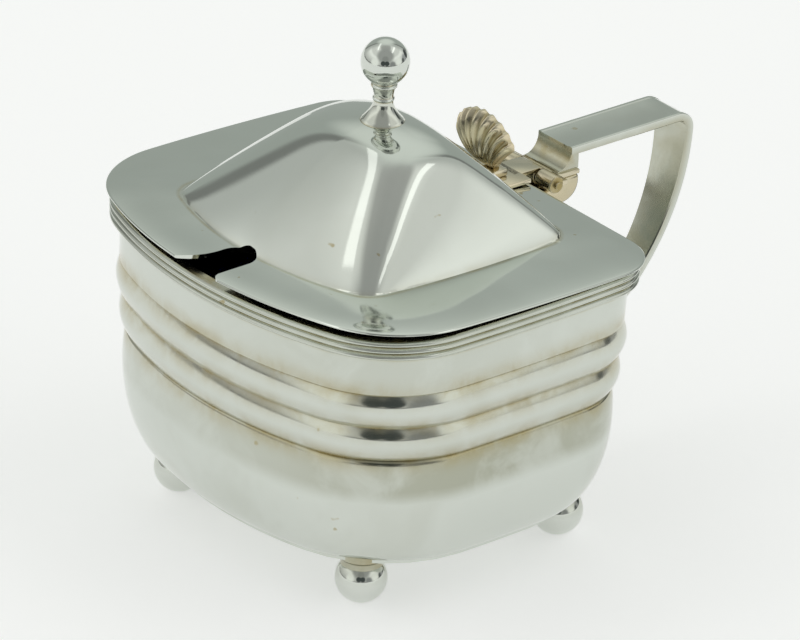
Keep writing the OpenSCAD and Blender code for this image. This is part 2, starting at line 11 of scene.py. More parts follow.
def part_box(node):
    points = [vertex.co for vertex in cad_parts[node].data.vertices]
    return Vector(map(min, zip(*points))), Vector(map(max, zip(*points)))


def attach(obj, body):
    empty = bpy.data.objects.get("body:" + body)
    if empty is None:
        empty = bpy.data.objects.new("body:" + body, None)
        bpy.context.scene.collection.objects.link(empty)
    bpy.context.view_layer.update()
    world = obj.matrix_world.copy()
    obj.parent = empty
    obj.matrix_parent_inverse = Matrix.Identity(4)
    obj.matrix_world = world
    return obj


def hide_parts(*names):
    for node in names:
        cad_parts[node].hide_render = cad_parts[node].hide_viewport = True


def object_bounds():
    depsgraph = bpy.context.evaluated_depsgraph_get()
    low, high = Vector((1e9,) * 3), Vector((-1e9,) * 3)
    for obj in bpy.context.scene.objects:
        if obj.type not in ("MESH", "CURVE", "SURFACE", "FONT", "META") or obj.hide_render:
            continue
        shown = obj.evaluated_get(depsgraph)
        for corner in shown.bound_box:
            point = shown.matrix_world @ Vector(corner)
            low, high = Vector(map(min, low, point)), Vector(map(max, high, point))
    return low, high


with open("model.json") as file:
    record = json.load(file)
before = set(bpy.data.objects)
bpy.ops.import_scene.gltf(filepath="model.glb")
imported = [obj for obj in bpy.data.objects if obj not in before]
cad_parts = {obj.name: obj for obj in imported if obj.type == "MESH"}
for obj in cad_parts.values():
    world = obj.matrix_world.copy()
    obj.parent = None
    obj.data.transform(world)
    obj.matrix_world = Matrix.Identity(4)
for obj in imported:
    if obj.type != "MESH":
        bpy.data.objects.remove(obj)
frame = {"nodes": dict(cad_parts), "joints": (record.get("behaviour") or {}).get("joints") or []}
CAD_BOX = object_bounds()

bl_info = {
    "name": "Mustard Pot",
    "version": (1, 0, 0),
    "blender": (4, 5, 0),
    "location": "View3D > Sidebar > Mustard Pot",
    "description": "Models a bow-front silver mustard pot with a hinged lid and a blue glass liner",
    "category": "Add Mesh",
}

MM = 0.001
FEET = ("front_left", "front_right", "rear_left", "rear_right")
HINGE = Vector(frame["joints"][0]["pos_m"])


def middle_of(node):
    """Middle of a node's box."""
    low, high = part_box(node)
    return (Vector(low) + Vector(high)) / 2


# The plan is drawn from the middle of the four feet
POT_X = sum(middle_of("foot_ball_" + foot).x for foot in FEET) / len(FEET)


# Sizes and colours


def length(label, text, millimetres):
    """A length in metres, given in millimetres."""
    return bpy.props.FloatProperty(
        name=label, description=text, default=millimetres * MM, unit="LENGTH", precision=5
    )


def share(label, text, value):
    """A plain number."""
    return bpy.props.FloatProperty(name=label, description=text, default=value, precision=3)


def angle(label, text, degrees):
    """An angle, given in degrees."""
    return bpy.props.FloatProperty(
        name=label, description=text, default=math.radians(degrees), subtype="ANGLE"
    )


def count(label, text, number):
    """A number of like things."""
    return bpy.props.IntProperty(name=label, description=text, default=number)


def colour(label, text, value):
    """A linear colour."""
    return bpy.props.FloatVectorProperty(
        name=label, description=text, default=value, size=3, subtype="COLOR", min=0, max=1
    )


class PotBodySizes(bpy.types.PropertyGroup):
    """Plan and profile of the pot's body."""

    lid_front: length("Lid front", "Lid's bowed front from the middle of the feet", 39.2)
    lid_rear: length("Lid rear", "Lid's straight rear from the middle of the feet", 29.7)
    lid_half_y: length("Lid half width", "Half width of the lid along the hinge", 42.5)
    front_bow: length("Front bow", "How far the front bows out past its corners", 11)
    rear_bow: length("Rear bow", "How far the rear bows out past its corners", 0.6)
    side_bow: length("Side bow", "How far each side bows out past its corners", 1.5)
    front_corner: length("Front corner", "Radius of the lid's front corners", 19)
    rear_corner: length("Rear corner", "Radius of the lid's rear corners", 10)
    corner_growth: length("Corner growth", "How much rounder the corners are at the base", 6)
    rear_share: share("Rear share", "Share of each inset that the rear takes", 0.85)
    rim_top: length("Rim top", "Height of the rim's top over the table", 55)
    rim_h: length("Rim height", "Height of the reeded rim", 3.6)
    reed_rise: length("Reed rise", "How far each reed stands out from its groove", 0.6)
    reed_back: length("Reed backing", "Depth of metal behind the grooves", 0.8)
    band_inset: length("Band inset", "Inset of the plain band from the lid's edge", 1.9)
    band_h: length("Band height", "Height of the plain band under the rim", 7.4)
    crease_inset: length("Crease inset", "Inset of the crease over the upper rib", 2.1)
    crease_step: length("Crease step", "How much further in each lower crease lies", 0.4)
    rib_h: length("Rib height", "Height of each rib", 6.35)
    rib_rise: length("Rib rise", "How far each rib stands out from its creases", 0.9)
    bulge_inset: length("Bulge inset", "Inset of the fullest part of the lower body", 2.2)
    bulge_drop: length("Bulge drop", "Depth of the fullest part below the lowest crease", 6.3)
    foot_inset: length("Foot inset", "Inset of the wall's foot on the base plate", 8)
    base_top: length("Base top", "Height of the base plate's upper face", 9.8)
    wall: length("Wall", "Thickness of the raised wall", 0.9)
    reeds: count("Reeds", "Number of reeds in the rim", 3)
    ribs: count("Ribs", "Number of ribs round the body", 2)


class PotLidSizes(bpy.types.PropertyGroup):
    """Lid, finial and thumbpiece."""

    rest: angle("Rest angle", "How far the lid stands open at rest", 1)
    gap: length("Gap", "Gap between the level lid and the rim", 0.3)
    sheet: length("Sheet", "Thickness of the lid's sheet", 0.9)
    dome_h: length("Dome height", "Height of the dome's crown over the flange", 17.4)
    dome_front: length("Dome front", "Dome's front edge from the middle", 28.6)
    dome_rear: length("Dome rear", "Dome's rear edge from the middle", 21.7)
    dome_half_y: length("Dome half width", "Half width of the dome's base", 27)
    dome_front_bow: length("Dome front bow", "Bow of the dome's front edge", 6)
    dome_corner: length("Dome corner", "Corner radius of the dome's base", 6)
    front_slope: share("Front slope", "Slope of the dome's front face", 0.85)
    rear_slope: share("Rear slope", "Slope of the dome's rear face", 1.2)
    side_slope: share("Side slope", "Slope of the dome's two side faces", 1.3)
    crown: length("Crown", "Radius of the shallow crown over the faces", 50)
    ridge_soft: length("Ridge softness", "Softness of the ridges between the faces, halfway up", 1.75)
    crown_soft: length("Crown softness", "Softness of the shoulder under the crown", 0.7)
    face_swell: length("Face swell", "How far the dome's faces swell out", 0.3)
    foot_swell: length("Foot swell", "How much the dome's faces steepen at their foot", 0.22)
    foot_rise: length("Foot rise", "Height over which they steepen", 1.3)
    dish: length("Dish", "How far the flange dips between dome and edge", 0.12)
    edge_roll: length("Edge roll", "How far the flange rolls down to its edge", 0.35)
    seat: length("Seat depth", "How far the stem's seat is let into the crown", 0.3)
    cut_half: length("Cut half width", "Half width of the spoon cut", 3.4)
    cut_shift: length("Cut shift", "Distance of the spoon cut from the centre line", -0.8)
    cut_bite: length("Cut bite", "How far the cut bites into the dome's foot", 1)
    cut_flare: length("Cut flare", "Radius of the cut's narrow lip", 1.6)
    cut_sweep: length("Cut sweep", "How far the cut's wide lip swings out", 3.6)
    stem_h: length("Stem height", "Height of the stem up to the ball's seat", 7)
    stem_foot: length("Stem foot", "Radius of the stem's foot", 3.8)
    stem_waist: length("Stem waist", "Radius of the stem's waist", 1.7)
    collar: length("Collar", "Radius of the collar under the ball", 2.3)
    ball: length("Finial ball", "Radius of the finial's ball", 4.2)
    shell_len: length("Shell length", "Length of the shell's middle flute", 13)
    shell_t: length("Shell thickness", "Thickness of the shell", 1.3)
    shell_root: length("Shell root", "Half width of the shell's root", 1)
    shell_in: length("Shell place", "Distance of the shell in front of the lid's rear edge", 4.6)
    shell_block: length("Shell block", "Height of the block under the shell", 1.4)
    flute_depth: length("Flute depth", "Depth of the shell's flutes", 0.45)
    shell_fan: angle("Shell fan", "Half of the fan's angle", 46)
    shell_lean: angle("Shell lean", "How far the shell's root leans to the finial", 62)
    shell_curl: angle("Shell curl", "How far the shell curls back on its way up", 95)
    flutes: count("Flutes", "Number of flutes in the shell", 9)


class PotHandleSizes(bpy.types.PropertyGroup):
    """Hinge and strap handle."""

    knuckle: length("Knuckle", "Radius of the hinge's knuckles", 1.6)
    hinge_len: length("Hinge length", "Length of the hinge", 15)
    middle_len: length("Middle knuckle", "Length of the middle knuckle", 5.4)
    knuckle_gap: length("Knuckle gap", "Gap between neighbouring knuckles", 0.3)
    leaf: length("Leaf", "Thickness of the hinge leaves", 0.9)
    lid_leaf_w: length("Lid leaf width", "Width of the lid's leaf on the flange", 11)
    clear: length("Clearance", "Clearance round moving hinge parts", 0.35)
    bracket_w: length("Bracket width", "Width of the bracket behind the rim", 10)
    riser_back: length("Riser place", "Distance of the riser behind the hinge's axis", 5.4)
    cove: length("Cove", "Depth of the cove in front of the riser", 2.9)
    cove_toe: length("Cove toe", "Length of the cove's toe", 0.05)
    strap_rise: length("Strap rise", "Height of the strap's top over the rim", 5)
    strap_w: length("Strap width", "Width of the strap along its top", 9)
    strap_end_w: length("Strap end width", "Width of the strap at its lower end", 4.8)
    strap_t: length("Strap thickness", "Thickness of the strap", 1.6)
    strap_corner: length("Strap corner", "Outer radius of the strap's upper corner", 3.6)
    reach: length("Reach", "Handle's rear from the middle of the feet", 66.8)
    back_r: length("Back radius", "Outer radius of the strap's back", 43)
    lower_r: length("Lower radius", "Outer radius of the lower bend", 28)
    back_turn: angle("Back turn", "Angle of the back before its lower bend", 46)
    thread_w: length("Thread width", "Width of the raised thread along each edge", 1)
    thread_h: length("Thread height", "Height of the raised thread", 0.1)


class PotFinish(bpy.types.PropertyGroup):
    """Colours of the metal, the glass and the floor."""

    silver: colour("Silver", "Polished silver", (0.67, 0.70, 0.65))
    bright: colour("Bright silver", "Well rubbed silver", (0.70, 0.725, 0.68))
    # The tarnish colour also paints shade on hidden faces, and the warm colour also paints reflection patches
    # besides the film
    tarnish_and_shade: colour("Tarnish", "Yellow-brown tarnish left in the creases", (0.38, 0.305, 0.125))
    warm: colour("Warm tarnish", "Thin warm film on the silver", (0.43, 0.44, 0.36))
    cast: colour("Cast", "Small cast pieces, less polished", (0.72, 0.63, 0.45))
    glass: colour("Glass", "Blue glass of the liner", (0.06, 0.14, 0.75))
    floor: colour("Floor", "Pale floor", (0.9, 0.9, 0.9))


def sizes():
    """The three groups of sizes."""
    scene = bpy.context.scene
    return scene.pot_body, scene.pot_lid, scene.pot_handle


# Outlines


# Points on each arc of a quarter outline, and on a turned ring
END_STEPS, CORNER_STEPS, SIDE_STEPS = 14, 24, 14
TURN_STEPS = 64
# A corner's radius stays under this share of the smaller half width
LARGEST_CORNER = 0.8


def arc_radius(chord, rise):
    """Radius of an arc of half chord that rises so far."""
    return (chord * chord + rise * rise) / (2 * rise)


def arc(centre, radius, start, stop, steps):
    """Points on an arc, without its last point."""
    angles = [start + (stop - start) * k / steps for k in range(steps)]
    return [Vector((centre[0] + radius * math.cos(a), centre[1] + radius * math.sin(a))) for a in angles]


def quarter(a, b, end_bow, side_bow, corner):
    """First quarter of a cushion outline, from the end's middle to the side's."""
    end_r, side_r = arc_radius(b, end_bow), arc_radius(a, side_bow)
    end, side = Vector((a - end_r, 0)), Vector((0, b - side_r))
    r0, r1 = end_r - corner, side_r - corner
    line = side - end
    unit = line.normalized()
    k = (r0 * r0 - r1 * r1 + line.length_squared) / (2 * line.length)
    h = math.sqrt(max(r0 * r0 - k * k, 0))
    middle = end + unit * k + h * Vector((-unit.y, unit.x))
    t0 = math.atan2(middle.y - end.y, middle.x - end.x)
    t1 = math.atan2(middle.y - side.y, middle.x - side.x)
    return (
        arc(end, end_r, 0, t0, END_STEPS)
        + arc(middle, corner, t0, t1, CORNER_STEPS)
        + arc(side, side_r, t1, math.pi / 2, SIDE_STEPS)
    )


def cushion(front, rear, b, front_bow, rear_bow, side_bow, front_corner, rear_corner):
    """Whole outline, anticlockwise from the rear's middle."""
    a, m = (front + rear) / 2, (rear - front) / 2
    most = LARGEST_CORNER * min(a, b)
    back = quarter(a, b, rear_bow, side_bow, min(rear_corner, most))
    fore = quarter(a, b, front_bow, side_bow, min(front_corner, most))
    return (
        [Vector((m + p.x, p.y)) for p in back] + [Vector((m, b))]
        + [Vector((m - p.x, p.y)) for p in reversed(fore[1:])]
        + [Vector((m - p.x, -p.y)) for p in fore] + [Vector((m, -b))]
        + [Vector((m + p.x, -p.y)) for p in reversed(back[1:])]
    )


def plan(inset, z):
    """Lid outline drawn in by an inset, with corners as round as the body has them at height z."""
    s = bpy.context.scene.pot_body
    b = s.lid_half_y - inset
    k = b / s.lid_half_y
    grown = s.corner_growth * (s.rim_top - z) / (s.rim_top - s.base_top)
    return cushion(
        s.lid_front - inset, s.lid_rear - s.rear_share * inset, b,
        s.front_bow * k, s.rear_bow * k, s.side_bow * k, s.front_corner + grown, s.rear_corner + grown,
    )


def level(points, z):
    """A flat outline as a ring at height z, in the frame."""
    return [Vector((POT_X + p.x, p.y, z)) for p in points]


def circle(radius, z):
    """A round ring about the finial's axis, in the frame."""
    return [
        Vector((POT_X + radius * math.cos(a), radius * math.sin(a), z))
        for a in (2 * math.pi * k / TURN_STEPS for k in range(TURN_STEPS))
    ]


def near(z, places, width):
    """1 at any of the places, falling to 0 a few widths away."""
    return max(math.exp(-(((z - place) / width) ** 2)) for place in places)


# Modelling with the mesh operators


def lone(piece):
    """Only this object is selected and active."""
    bpy.ops.object.select_all(action="DESELECT")
    piece.select_set(True)
    bpy.context.view_layer.objects.active = piece


def begin(name, primitive, **values):
    """A new primitive under its name, alone in edit mode and selected all over."""
    bpy.ops.object.select_all(action="DESELECT")
    primitive(**values)
    piece = bpy.context.object
    piece.name = name
    piece.data.name = name
    lone(piece)
    bpy.ops.object.mode_set(mode="EDIT")
    bpy.ops.mesh.select_all(action="SELECT")
    return piece


def loft(name, rings, marks=None):
    """A skin over rings of equal counts: a circle is extruded once for each ring and set to it.

    Each ring's mark goes to the tarnish_and_shade attribute, which holds crease tarnish and painted shade.
    Open ends are filled, and doubled points merged.
    """
    count = len(rings[0])
    piece = begin(name, bpy.ops.mesh.primitive_circle_add, vertices=count, radius=MM)
    for _ in rings[1:]:
        bpy.ops.mesh.extrude_region_move()
    shape = bmesh.from_edit_mesh(piece.data)
    shape.verts.ensure_lookup_table()
    layer = shape.verts.layers.float.new("tarnish_and_shade")
    for k, ring in enumerate(rings):
        for j, point in enumerate(ring):
            vert = shape.verts[k * count + j]
            vert.co = point
            if marks:
                vert[layer] = marks[k][j] if isinstance(marks[k], list) else marks[k]
    bmesh.update_edit_mesh(piece.data)
    bpy.ops.mesh.select_all(action="SELECT")
    bpy.ops.mesh.remove_doubles(threshold=1e-6)
    bpy.ops.mesh.fill_holes(sides=0)
    bpy.ops.mesh.select_all(action="SELECT")
    bpy.ops.mesh.normals_make_consistent(inside=False)
    bpy.ops.object.mode_set(mode="OBJECT")
    return piece


def closed(rings):
    """The rings with the first one repeated at the end, which closes the skin into a loop."""
    return rings + [rings[0]]


def outline_plate(name, points, depth):
    """A flat outline filled and extruded by a vector."""
    piece = begin(name, bpy.ops.mesh.primitive_circle_add, vertices=len(points), radius=MM)
    shape = bmesh.from_edit_mesh(piece.data)
    shape.verts.ensure_lookup_table()
    for vert, point in zip(shape.verts, points):
        vert.co = point
    bmesh.update_edit_mesh(piece.data)
    bpy.ops.mesh.edge_face_add()
    bpy.ops.mesh.extrude_region_move(TRANSFORM_OT_translate={"value": depth})
    bpy.ops.mesh.select_all(action="SELECT")
    bpy.ops.mesh.normals_make_consistent(inside=False)
    bpy.ops.object.mode_set(mode="OBJECT")
    return piece


def turned(name, profile, marks=None, centre=(0, 0)):
    """A turned piece: rings of the profile's radii and heights about an upright axis."""
    shift = Vector((centre[0], centre[1], 0))
    rings = [[p + shift for p in circle(radius, z)] for radius, z in profile]
    return loft(name, rings, marks)


def soften(piece, width):
    """Rounds the piece's sharp edges with a bevel modifier, which is applied."""
    lone(piece)
    bevel = piece.modifiers.new("Soft edges", "BEVEL")
    bevel.width = width
    bevel.segments = 3
    bevel.limit_method = "ANGLE"
    bevel.angle_limit = math.radians(40)
    bpy.ops.object.modifier_apply(modifier=bevel.name)


def plate(name, low, high, soft):
    """A cube moved and stretched between two corners, with soft edges."""
    piece = begin(name, bpy.ops.mesh.primitive_cube_add, size=1)
    low, high = Vector(low), Vector(high)
    bpy.ops.transform.resize(value=high - low)
    bpy.ops.transform.translate(value=(low + high) / 2)
    bpy.ops.object.mode_set(mode="OBJECT")
    soften(piece, soft * MM)
    return piece


def cut(piece, cutter):
    """Cuts one mesh out of another and deletes the cutter."""
    lone(piece)
    slot = piece.modifiers.new("Cut", "BOOLEAN")
    slot.operation = "DIFFERENCE"
    slot.solver = "EXACT"
    slot.object = cutter
    bpy.ops.object.modifier_apply(modifier=slot.name)
    bpy.data.objects.remove(cutter)


def join(first, *others):
    """Joins pieces into the first."""
    lone(first)
    for other in others:
        other.select_set(True)
    bpy.ops.object.join()
    return first


def turn(piece, matrix):
    """Turns the mesh itself, so that the object stays at the origin."""
    lone(piece)
    piece.data.transform(matrix)
    piece.data.update()


def lid_turn():
    """The lid's turn about its hinge from level to its rest angle."""
    rest = bpy.context.scene.pot_lid.rest
    return Matrix.Translation(HINGE) @ Matrix.Rotation(rest, 4, "Y") @ Matrix.Translation(-HINGE)


def paint(piece, mark, name="tarnish_and_shade"):
    """Sets a mark of the finish by a point's place."""
    layer = piece.data.attributes.get(name) or piece.data.attributes.new(name, "FLOAT", "POINT")
    for vert in piece.data.vertices:
        layer.data[vert.index].value = mark(vert.co)


def settle(piece, body, finish, node, smooth=32):
    """Shades the piece, gives it its finish and lets it ride on its body in place of its node."""
    lone(piece)
    bpy.ops.object.shade_smooth_by_angle(angle=math.radians(smooth))
    piece.data.materials.clear()
    piece.data.materials.append(bpy.data.materials[finish])
    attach(piece, body)
    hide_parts(node)


# Materials


def node_group(name, inputs, outputs):
    """An empty shader node group with its sockets, and its input and output nodes."""
    group = bpy.data.node_groups.new(name, "ShaderNodeTree")
    for label, kind, value in inputs:
        socket = group.interface.new_socket(label, in_out="INPUT", socket_type=kind)
        if value is not None:
            socket.default_value = value
    for label, kind in outputs:
        group.interface.new_socket(label, in_out="OUTPUT", socket_type=kind)
    return group, group.nodes.new("NodeGroupInput"), group.nodes.new("NodeGroupOutput")


def math_node(tree, operation, first, second):
    """A math node of two values or sockets."""
    made = tree.nodes.new("ShaderNodeMath")
    made.operation = operation
    for socket, value in zip(made.inputs, (first, second)):
        if isinstance(value, (int, float)):
            socket.default_value = value
        else:
            tree.links.new(value, socket)
    return made.outputs[0]


def noise(tree, vector, scale, detail, roughness=0.5, distortion=0.0):
    """A noise texture on a vector."""
    made = tree.nodes.new("ShaderNodeTexNoise")
    made.inputs["Detail"].default_value = detail
    made.inputs["Roughness"].default_value = roughness
    made.inputs["Distortion"].default_value = distortion
    if isinstance(scale, (int, float)):
        made.inputs["Scale"].default_value = scale
    else:
        tree.links.new(scale, made.inputs["Scale"])
    tree.links.new(vector, made.inputs["Vector"])
    return made.outputs["Fac"]


def fit_range(tree, value, low, high, out_low=0.0, out_high=1.0):
    """A value mapped smoothly from one range to another."""
    made = tree.nodes.new("ShaderNodeMapRange")
    made.interpolation_type = "SMOOTHSTEP"
    tree.links.new(value, made.inputs["Value"])
    for label, number in zip(("From Min", "From Max", "To Min", "To Max"), (low, high, out_low, out_high)):
        made.inputs[label].default_value = number
    return made.outputs["Result"]


def tarnish_and_painted_light_group():
    """Where tarnish and painted light lie: in marked creases and painted-shade faces, broken up, in small
    pits, and as a thin film in patches that also carry painted reflection.
    """
    tree, given, out = node_group(
        "Tarnish and Painted Light",
        [("Vector", "NodeSocketVector", None), ("Crease_and_shade", "NodeSocketFloat", 0.0),
         ("Stain_and_reflection", "NodeSocketFloat", 0.0), ("Amount", "NodeSocketFloat", 1.0),
         ("Film", "NodeSocketFloat", 0.3)],
        [("Mask", "NodeSocketFloat"), ("Film", "NodeSocketFloat")],
    )
    vector = given.outputs["Vector"]
    blots = noise(tree, vector, scale=140.0, detail=4, roughness=0.6, distortion=0.4)
    patches = fit_range(tree, blots, 0.32, 0.68, 0.35, 1.0)
    # The crease marks also hold painted shade on the hidden faces
    crease = math_node(tree, "MULTIPLY", given.outputs["Crease_and_shade"], patches)
    pits = fit_range(tree, noise(tree, vector, scale=330.0, detail=1), 0.76, 0.8, 0.0, 0.7)
    mask = math_node(tree, "MULTIPLY", math_node(tree, "MAXIMUM", crease, pits), given.outputs["Amount"])
    tree.links.new(mask, out.inputs["Mask"])
    clouds = noise(tree, vector, scale=45.0, detail=3, roughness=0.55, distortion=0.8)
    film = math_node(tree, "MULTIPLY", fit_range(tree, clouds, 0.42, 0.72), given.outputs["Film"])
    broken = noise(tree, vector, scale=90.0, detail=5, roughness=0.6, distortion=0.6)
    # The film marks hold real stains and painted reflection patches
    stain_and_painted_light = math_node(tree, "MULTIPLY", given.outputs["Stain_and_reflection"], fit_range(tree, broken, 0.3, 0.6, 0.55, 1.1))
    tree.links.new(math_node(tree, "MAXIMUM", film, stain_and_painted_light), out.inputs["Film"])
    return tree


# Share of the beaten waves' height that the rubbing marks have
RUB_SHARE = 0.012
# Height of the beaten waves, in metres
BEATEN_DEPTH = 0.00018
# How much rougher a full tarnish and painted-shade mark is than clean metal
TARNISH_AND_SHADE_DULLNESS = 0.3


def polish_group():
    """Hand polish: slow waves of the beaten sheet, fine rubbing marks and an uneven gloss."""
    tree, given, out = node_group(
        "Hand Polish",
        [("Vector", "NodeSocketVector", None), ("Waves", "NodeSocketFloat", 1.0),
         ("Gloss", "NodeSocketFloat", 0.12)],
        [("Height", "NodeSocketFloat"), ("Roughness", "NodeSocketFloat")],
    )
    vector = given.outputs["Vector"]
    beaten = noise(tree, vector, scale=55.0, detail=1, roughness=0.4)
    slow = math_node(tree, "MULTIPLY", beaten, given.outputs["Waves"])
    stretch = tree.nodes.new("ShaderNodeMapping")
    stretch.inputs["Scale"].default_value = (1.0, 1.0, 9.0)
    stretch.inputs["Rotation"].default_value = (0.3, 0.5, 0.2)
    tree.links.new(vector, stretch.inputs["Vector"])
    rubbed = noise(tree, stretch.outputs["Vector"], scale=900.0, detail=5, roughness=0.7)
    height = math_node(tree, "ADD", slow, math_node(tree, "MULTIPLY", rubbed, RUB_SHARE))
    tree.links.new(height, out.inputs["Height"])
    uneven = noise(tree, vector, scale=180.0, detail=5, roughness=0.65)
    dull = fit_range(tree, uneven, 0.3, 0.75, 0.75, 1.5)
    tree.links.new(math_node(tree, "MULTIPLY", dull, given.outputs["Gloss"]), out.inputs["Roughness"])
    return tree


def mix_colour(tree, mask, first, second):
    """Two colours mixed by a mask."""
    made = tree.nodes.new("ShaderNodeMix")
    made.data_type = "RGBA"
    tree.links.new(mask, made.inputs["Factor"])
    for socket, value in zip((made.inputs["A"], made.inputs["B"]), (first, second)):
        if isinstance(value, (tuple, list)):
            socket.default_value = value
        else:
            tree.links.new(value, socket)
    return made.outputs["Result"]


def solid(group_colour):
    """A property's colour with full alpha."""
    return (*group_colour[:3], 1.0)


def silver_finish(name, base, amount, film, gloss, waves):
    """Silver: a base colour, tarnish in the creases with painted shade on hidden faces, a thin warm film with
    painted reflection where marked, and hand polish.
    """
    finish = bpy.context.scene.pot_finish
    made = bpy.data.materials.new(name)
    made.use_nodes = True
    made.diffuse_color = solid(base)
    tree = made.node_tree
    shader = tree.nodes["Principled BSDF"]
    shader.inputs["Metallic"].default_value = 1.0
    place = tree.nodes.new("ShaderNodeTexCoord").outputs["Object"]
    stain_and_painted_light = tree.nodes.new("ShaderNodeGroup")
    stain_and_painted_light.node_tree = bpy.data.node_groups["Tarnish and Painted Light"]
    tree.links.new(place, stain_and_painted_light.inputs["Vector"])
    for mark, socket in (("tarnish_and_shade", "Crease_and_shade"), ("film", "Stain_and_reflection")):
        layer = tree.nodes.new("ShaderNodeAttribute")
        layer.attribute_name = mark
        tree.links.new(layer.outputs["Fac"], stain_and_painted_light.inputs[socket])
    stain_and_painted_light.inputs["Amount"].default_value = amount
    stain_and_painted_light.inputs["Film"].default_value = film
    polish = tree.nodes.new("ShaderNodeGroup")
    polish.node_tree = bpy.data.node_groups["Hand Polish"]
    tree.links.new(place, polish.inputs["Vector"])
    polish.inputs["Waves"].default_value = waves
    polish.inputs["Gloss"].default_value = gloss
    filmed_and_reflected = mix_colour(tree, stain_and_painted_light.outputs["Film"], solid(base), solid(finish.warm))
    # Painted shade goes in with the tarnish mix, and painted reflection with the warm film mix
    stained_and_shaded = mix_colour(tree, stain_and_painted_light.outputs["Mask"], filmed_and_reflected, solid(finish.tarnish_and_shade))
    tree.links.new(stained_and_shaded, shader.inputs["Base Color"])
    dull = math_node(tree, "MULTIPLY", stain_and_painted_light.outputs["Mask"], TARNISH_AND_SHADE_DULLNESS)
    tree.links.new(math_node(tree, "ADD", polish.outputs["Roughness"], dull), shader.inputs["Roughness"])
    bump = tree.nodes.new("ShaderNodeBump")
    bump.inputs["Strength"].default_value = 1.0
    bump.inputs["Distance"].default_value = BEATEN_DEPTH
    tree.links.new(polish.outputs["Height"], bump.inputs["Height"])
    tree.links.new(bump.outputs["Normal"], shader.inputs["Normal"])
    return made


# Darker share of the glass's colour in its deeper seeds, and height of its waves in metres
DEEP_GLASS = 0.6
GLASS_WAVES = 0.0003


def glass_finish():
    """Clear blue glass with slow waves of the blown wall."""
    finish = bpy.context.scene.pot_finish
    made = bpy.data.materials.new("Blue glass")
    made.use_nodes = True
    made.diffuse_color = solid(finish.glass)
    tree = made.node_tree
    shader = tree.nodes["Principled BSDF"]
    shader.inputs["Transmission Weight"].default_value = 1.0
    shader.inputs["IOR"].default_value = 1.5
    place = tree.nodes.new("ShaderNodeTexCoord").outputs["Object"]
    seed = fit_range(tree, noise(tree, place, scale=60.0, detail=2), 0.3, 0.7)
    deep = tuple(DEEP_GLASS * c for c in finish.glass[:3]) + (1.0,)
    tree.links.new(mix_colour(tree, seed, solid(finish.glass), deep), shader.inputs["Base Color"])
    rough = fit_range(tree, noise(tree, place, scale=220.0, detail=3), 0.3, 0.8, 0.01, 0.06)
    tree.links.new(rough, shader.inputs["Roughness"])
    bump = tree.nodes.new("ShaderNodeBump")
    bump.inputs["Distance"].default_value = GLASS_WAVES
    tree.links.new(noise(tree, place, scale=70.0, detail=2), bump.inputs["Height"])
    tree.links.new(bump.outputs["Normal"], shader.inputs["Normal"])
    return made


# Name, colour, tarnish in the creases and painted shade, warm film, roughness and beaten waves of each silver
SILVERS = (
    ("Body silver", "silver", 0.85, 0.2, 0.04, 1.7),
    ("Lid silver", "silver", 0.95, 0.1, 0.05, 0.8),
    ("Bright silver", "bright", 0.8, 0.12, 0.06, 0.2),
    ("Rim silver", "silver", 0.95, 0.4, 0.07, 0.3),
    ("Strap silver", "silver", 0.7, 0.15, 0.09, 0.4),
    ("Warm silver", "cast", 0.9, 0.6, 0.16, 0.3),
)


class POT_OT_finishes(bpy.types.Operator):
    """Makes the silver and glass materials"""

    bl_idname = "pot.finishes"
    bl_label = "Finishes"

    def execute(self, context):
        finish = context.scene.pot_finish
        tarnish_and_painted_light_group()
        polish_group()
        for name, base, amount, film, gloss, waves in SILVERS:
            silver_finish(name, getattr(finish, base), amount, film, gloss, waves)
        glass_finish()
        return {"FINISHED"}


# Body


# Rings over the band, a rib, the top and the underside of the bulge, and a reed
BAND_STEPS, RIB_STEPS, BULGE_STEPS, UNDER_STEPS, REED_STEPS = 8, 16, 12, 30, 12
# The band stops this far over the first crease, and the wall's inside this far over the base
BAND_STOP, BASE_GAP = 0.3 * MM, 0.1 * MM
# Half widths of the dark line in a crease and of the golden tarnish beside it
CREASE_LINE, CREASE_GLOW = 0.5 * MM, 2 * MM
# Where the warm film with its painted reflection patch is thickest round the pot and how far it spreads, in
# degrees
BAND_REFLECTION_FILM, BAND_REFLECTION_FILM_SPREAD = -128, 36
BULGE_REFLECTION_FILM, BULGE_REFLECTION_FILM_SPREAD = -100, 55
# The bulge's film and painted reflection start this far below its fullest line and are whole so much higher
REFLECTION_FILM_START, REFLECTION_FILM_RISE = 2 * MM, 2.5 * MM


def heights():
    """Heights on the body from the rim down: rim's foot, first crease, lowest crease, fullest line."""
    s = bpy.context.scene.pot_body
    rim_base = s.rim_top - s.rim_h
    rib_top = rim_base - s.band_h
    bulge_top = rib_top - s.ribs * s.rib_h
    return rim_base, rib_top, bulge_top, bulge_top - s.bulge_drop


def body_profile():
    """Inset and height down the outside, from the rim's top to the wall's foot."""
    s = bpy.context.scene.pot_body
    rim_base, rib_top, bulge_top, bulge_z = heights()
    line = [(s.band_inset, s.rim_top)]
    band = rib_top + BAND_STOP - rim_base
    line += [(s.band_inset, rim_base + band * k / BAND_STEPS) for k in range(BAND_STEPS + 1)]
    for rib in range(s.ribs):
        for k in range(RIB_STEPS):
            f = k / RIB_STEPS
            swell = s.rib_rise * math.sin(math.pi * f)
            inset = s.crease_inset + (rib + f) * s.crease_step - swell
            line.append((inset, rib_top - s.rib_h * (rib + f)))
    deep = s.crease_inset + s.ribs * s.crease_step
    for k in range(BULGE_STEPS):
        t = math.pi / 2 * k / BULGE_STEPS
        line.append((s.bulge_inset + (deep - s.bulge_inset) * (1 - math.sin(t)),
                     bulge_top - s.bulge_drop * (1 - math.cos(t))))
    under = bulge_z - s.base_top
    for k in range(UNDER_STEPS + 1):
        t = math.pi / 2 * k / UNDER_STEPS
        line.append((s.bulge_inset + (s.foot_inset - s.bulge_inset) * (1 - math.cos(t)),
                     bulge_z - under * math.sin(t)))
    return line


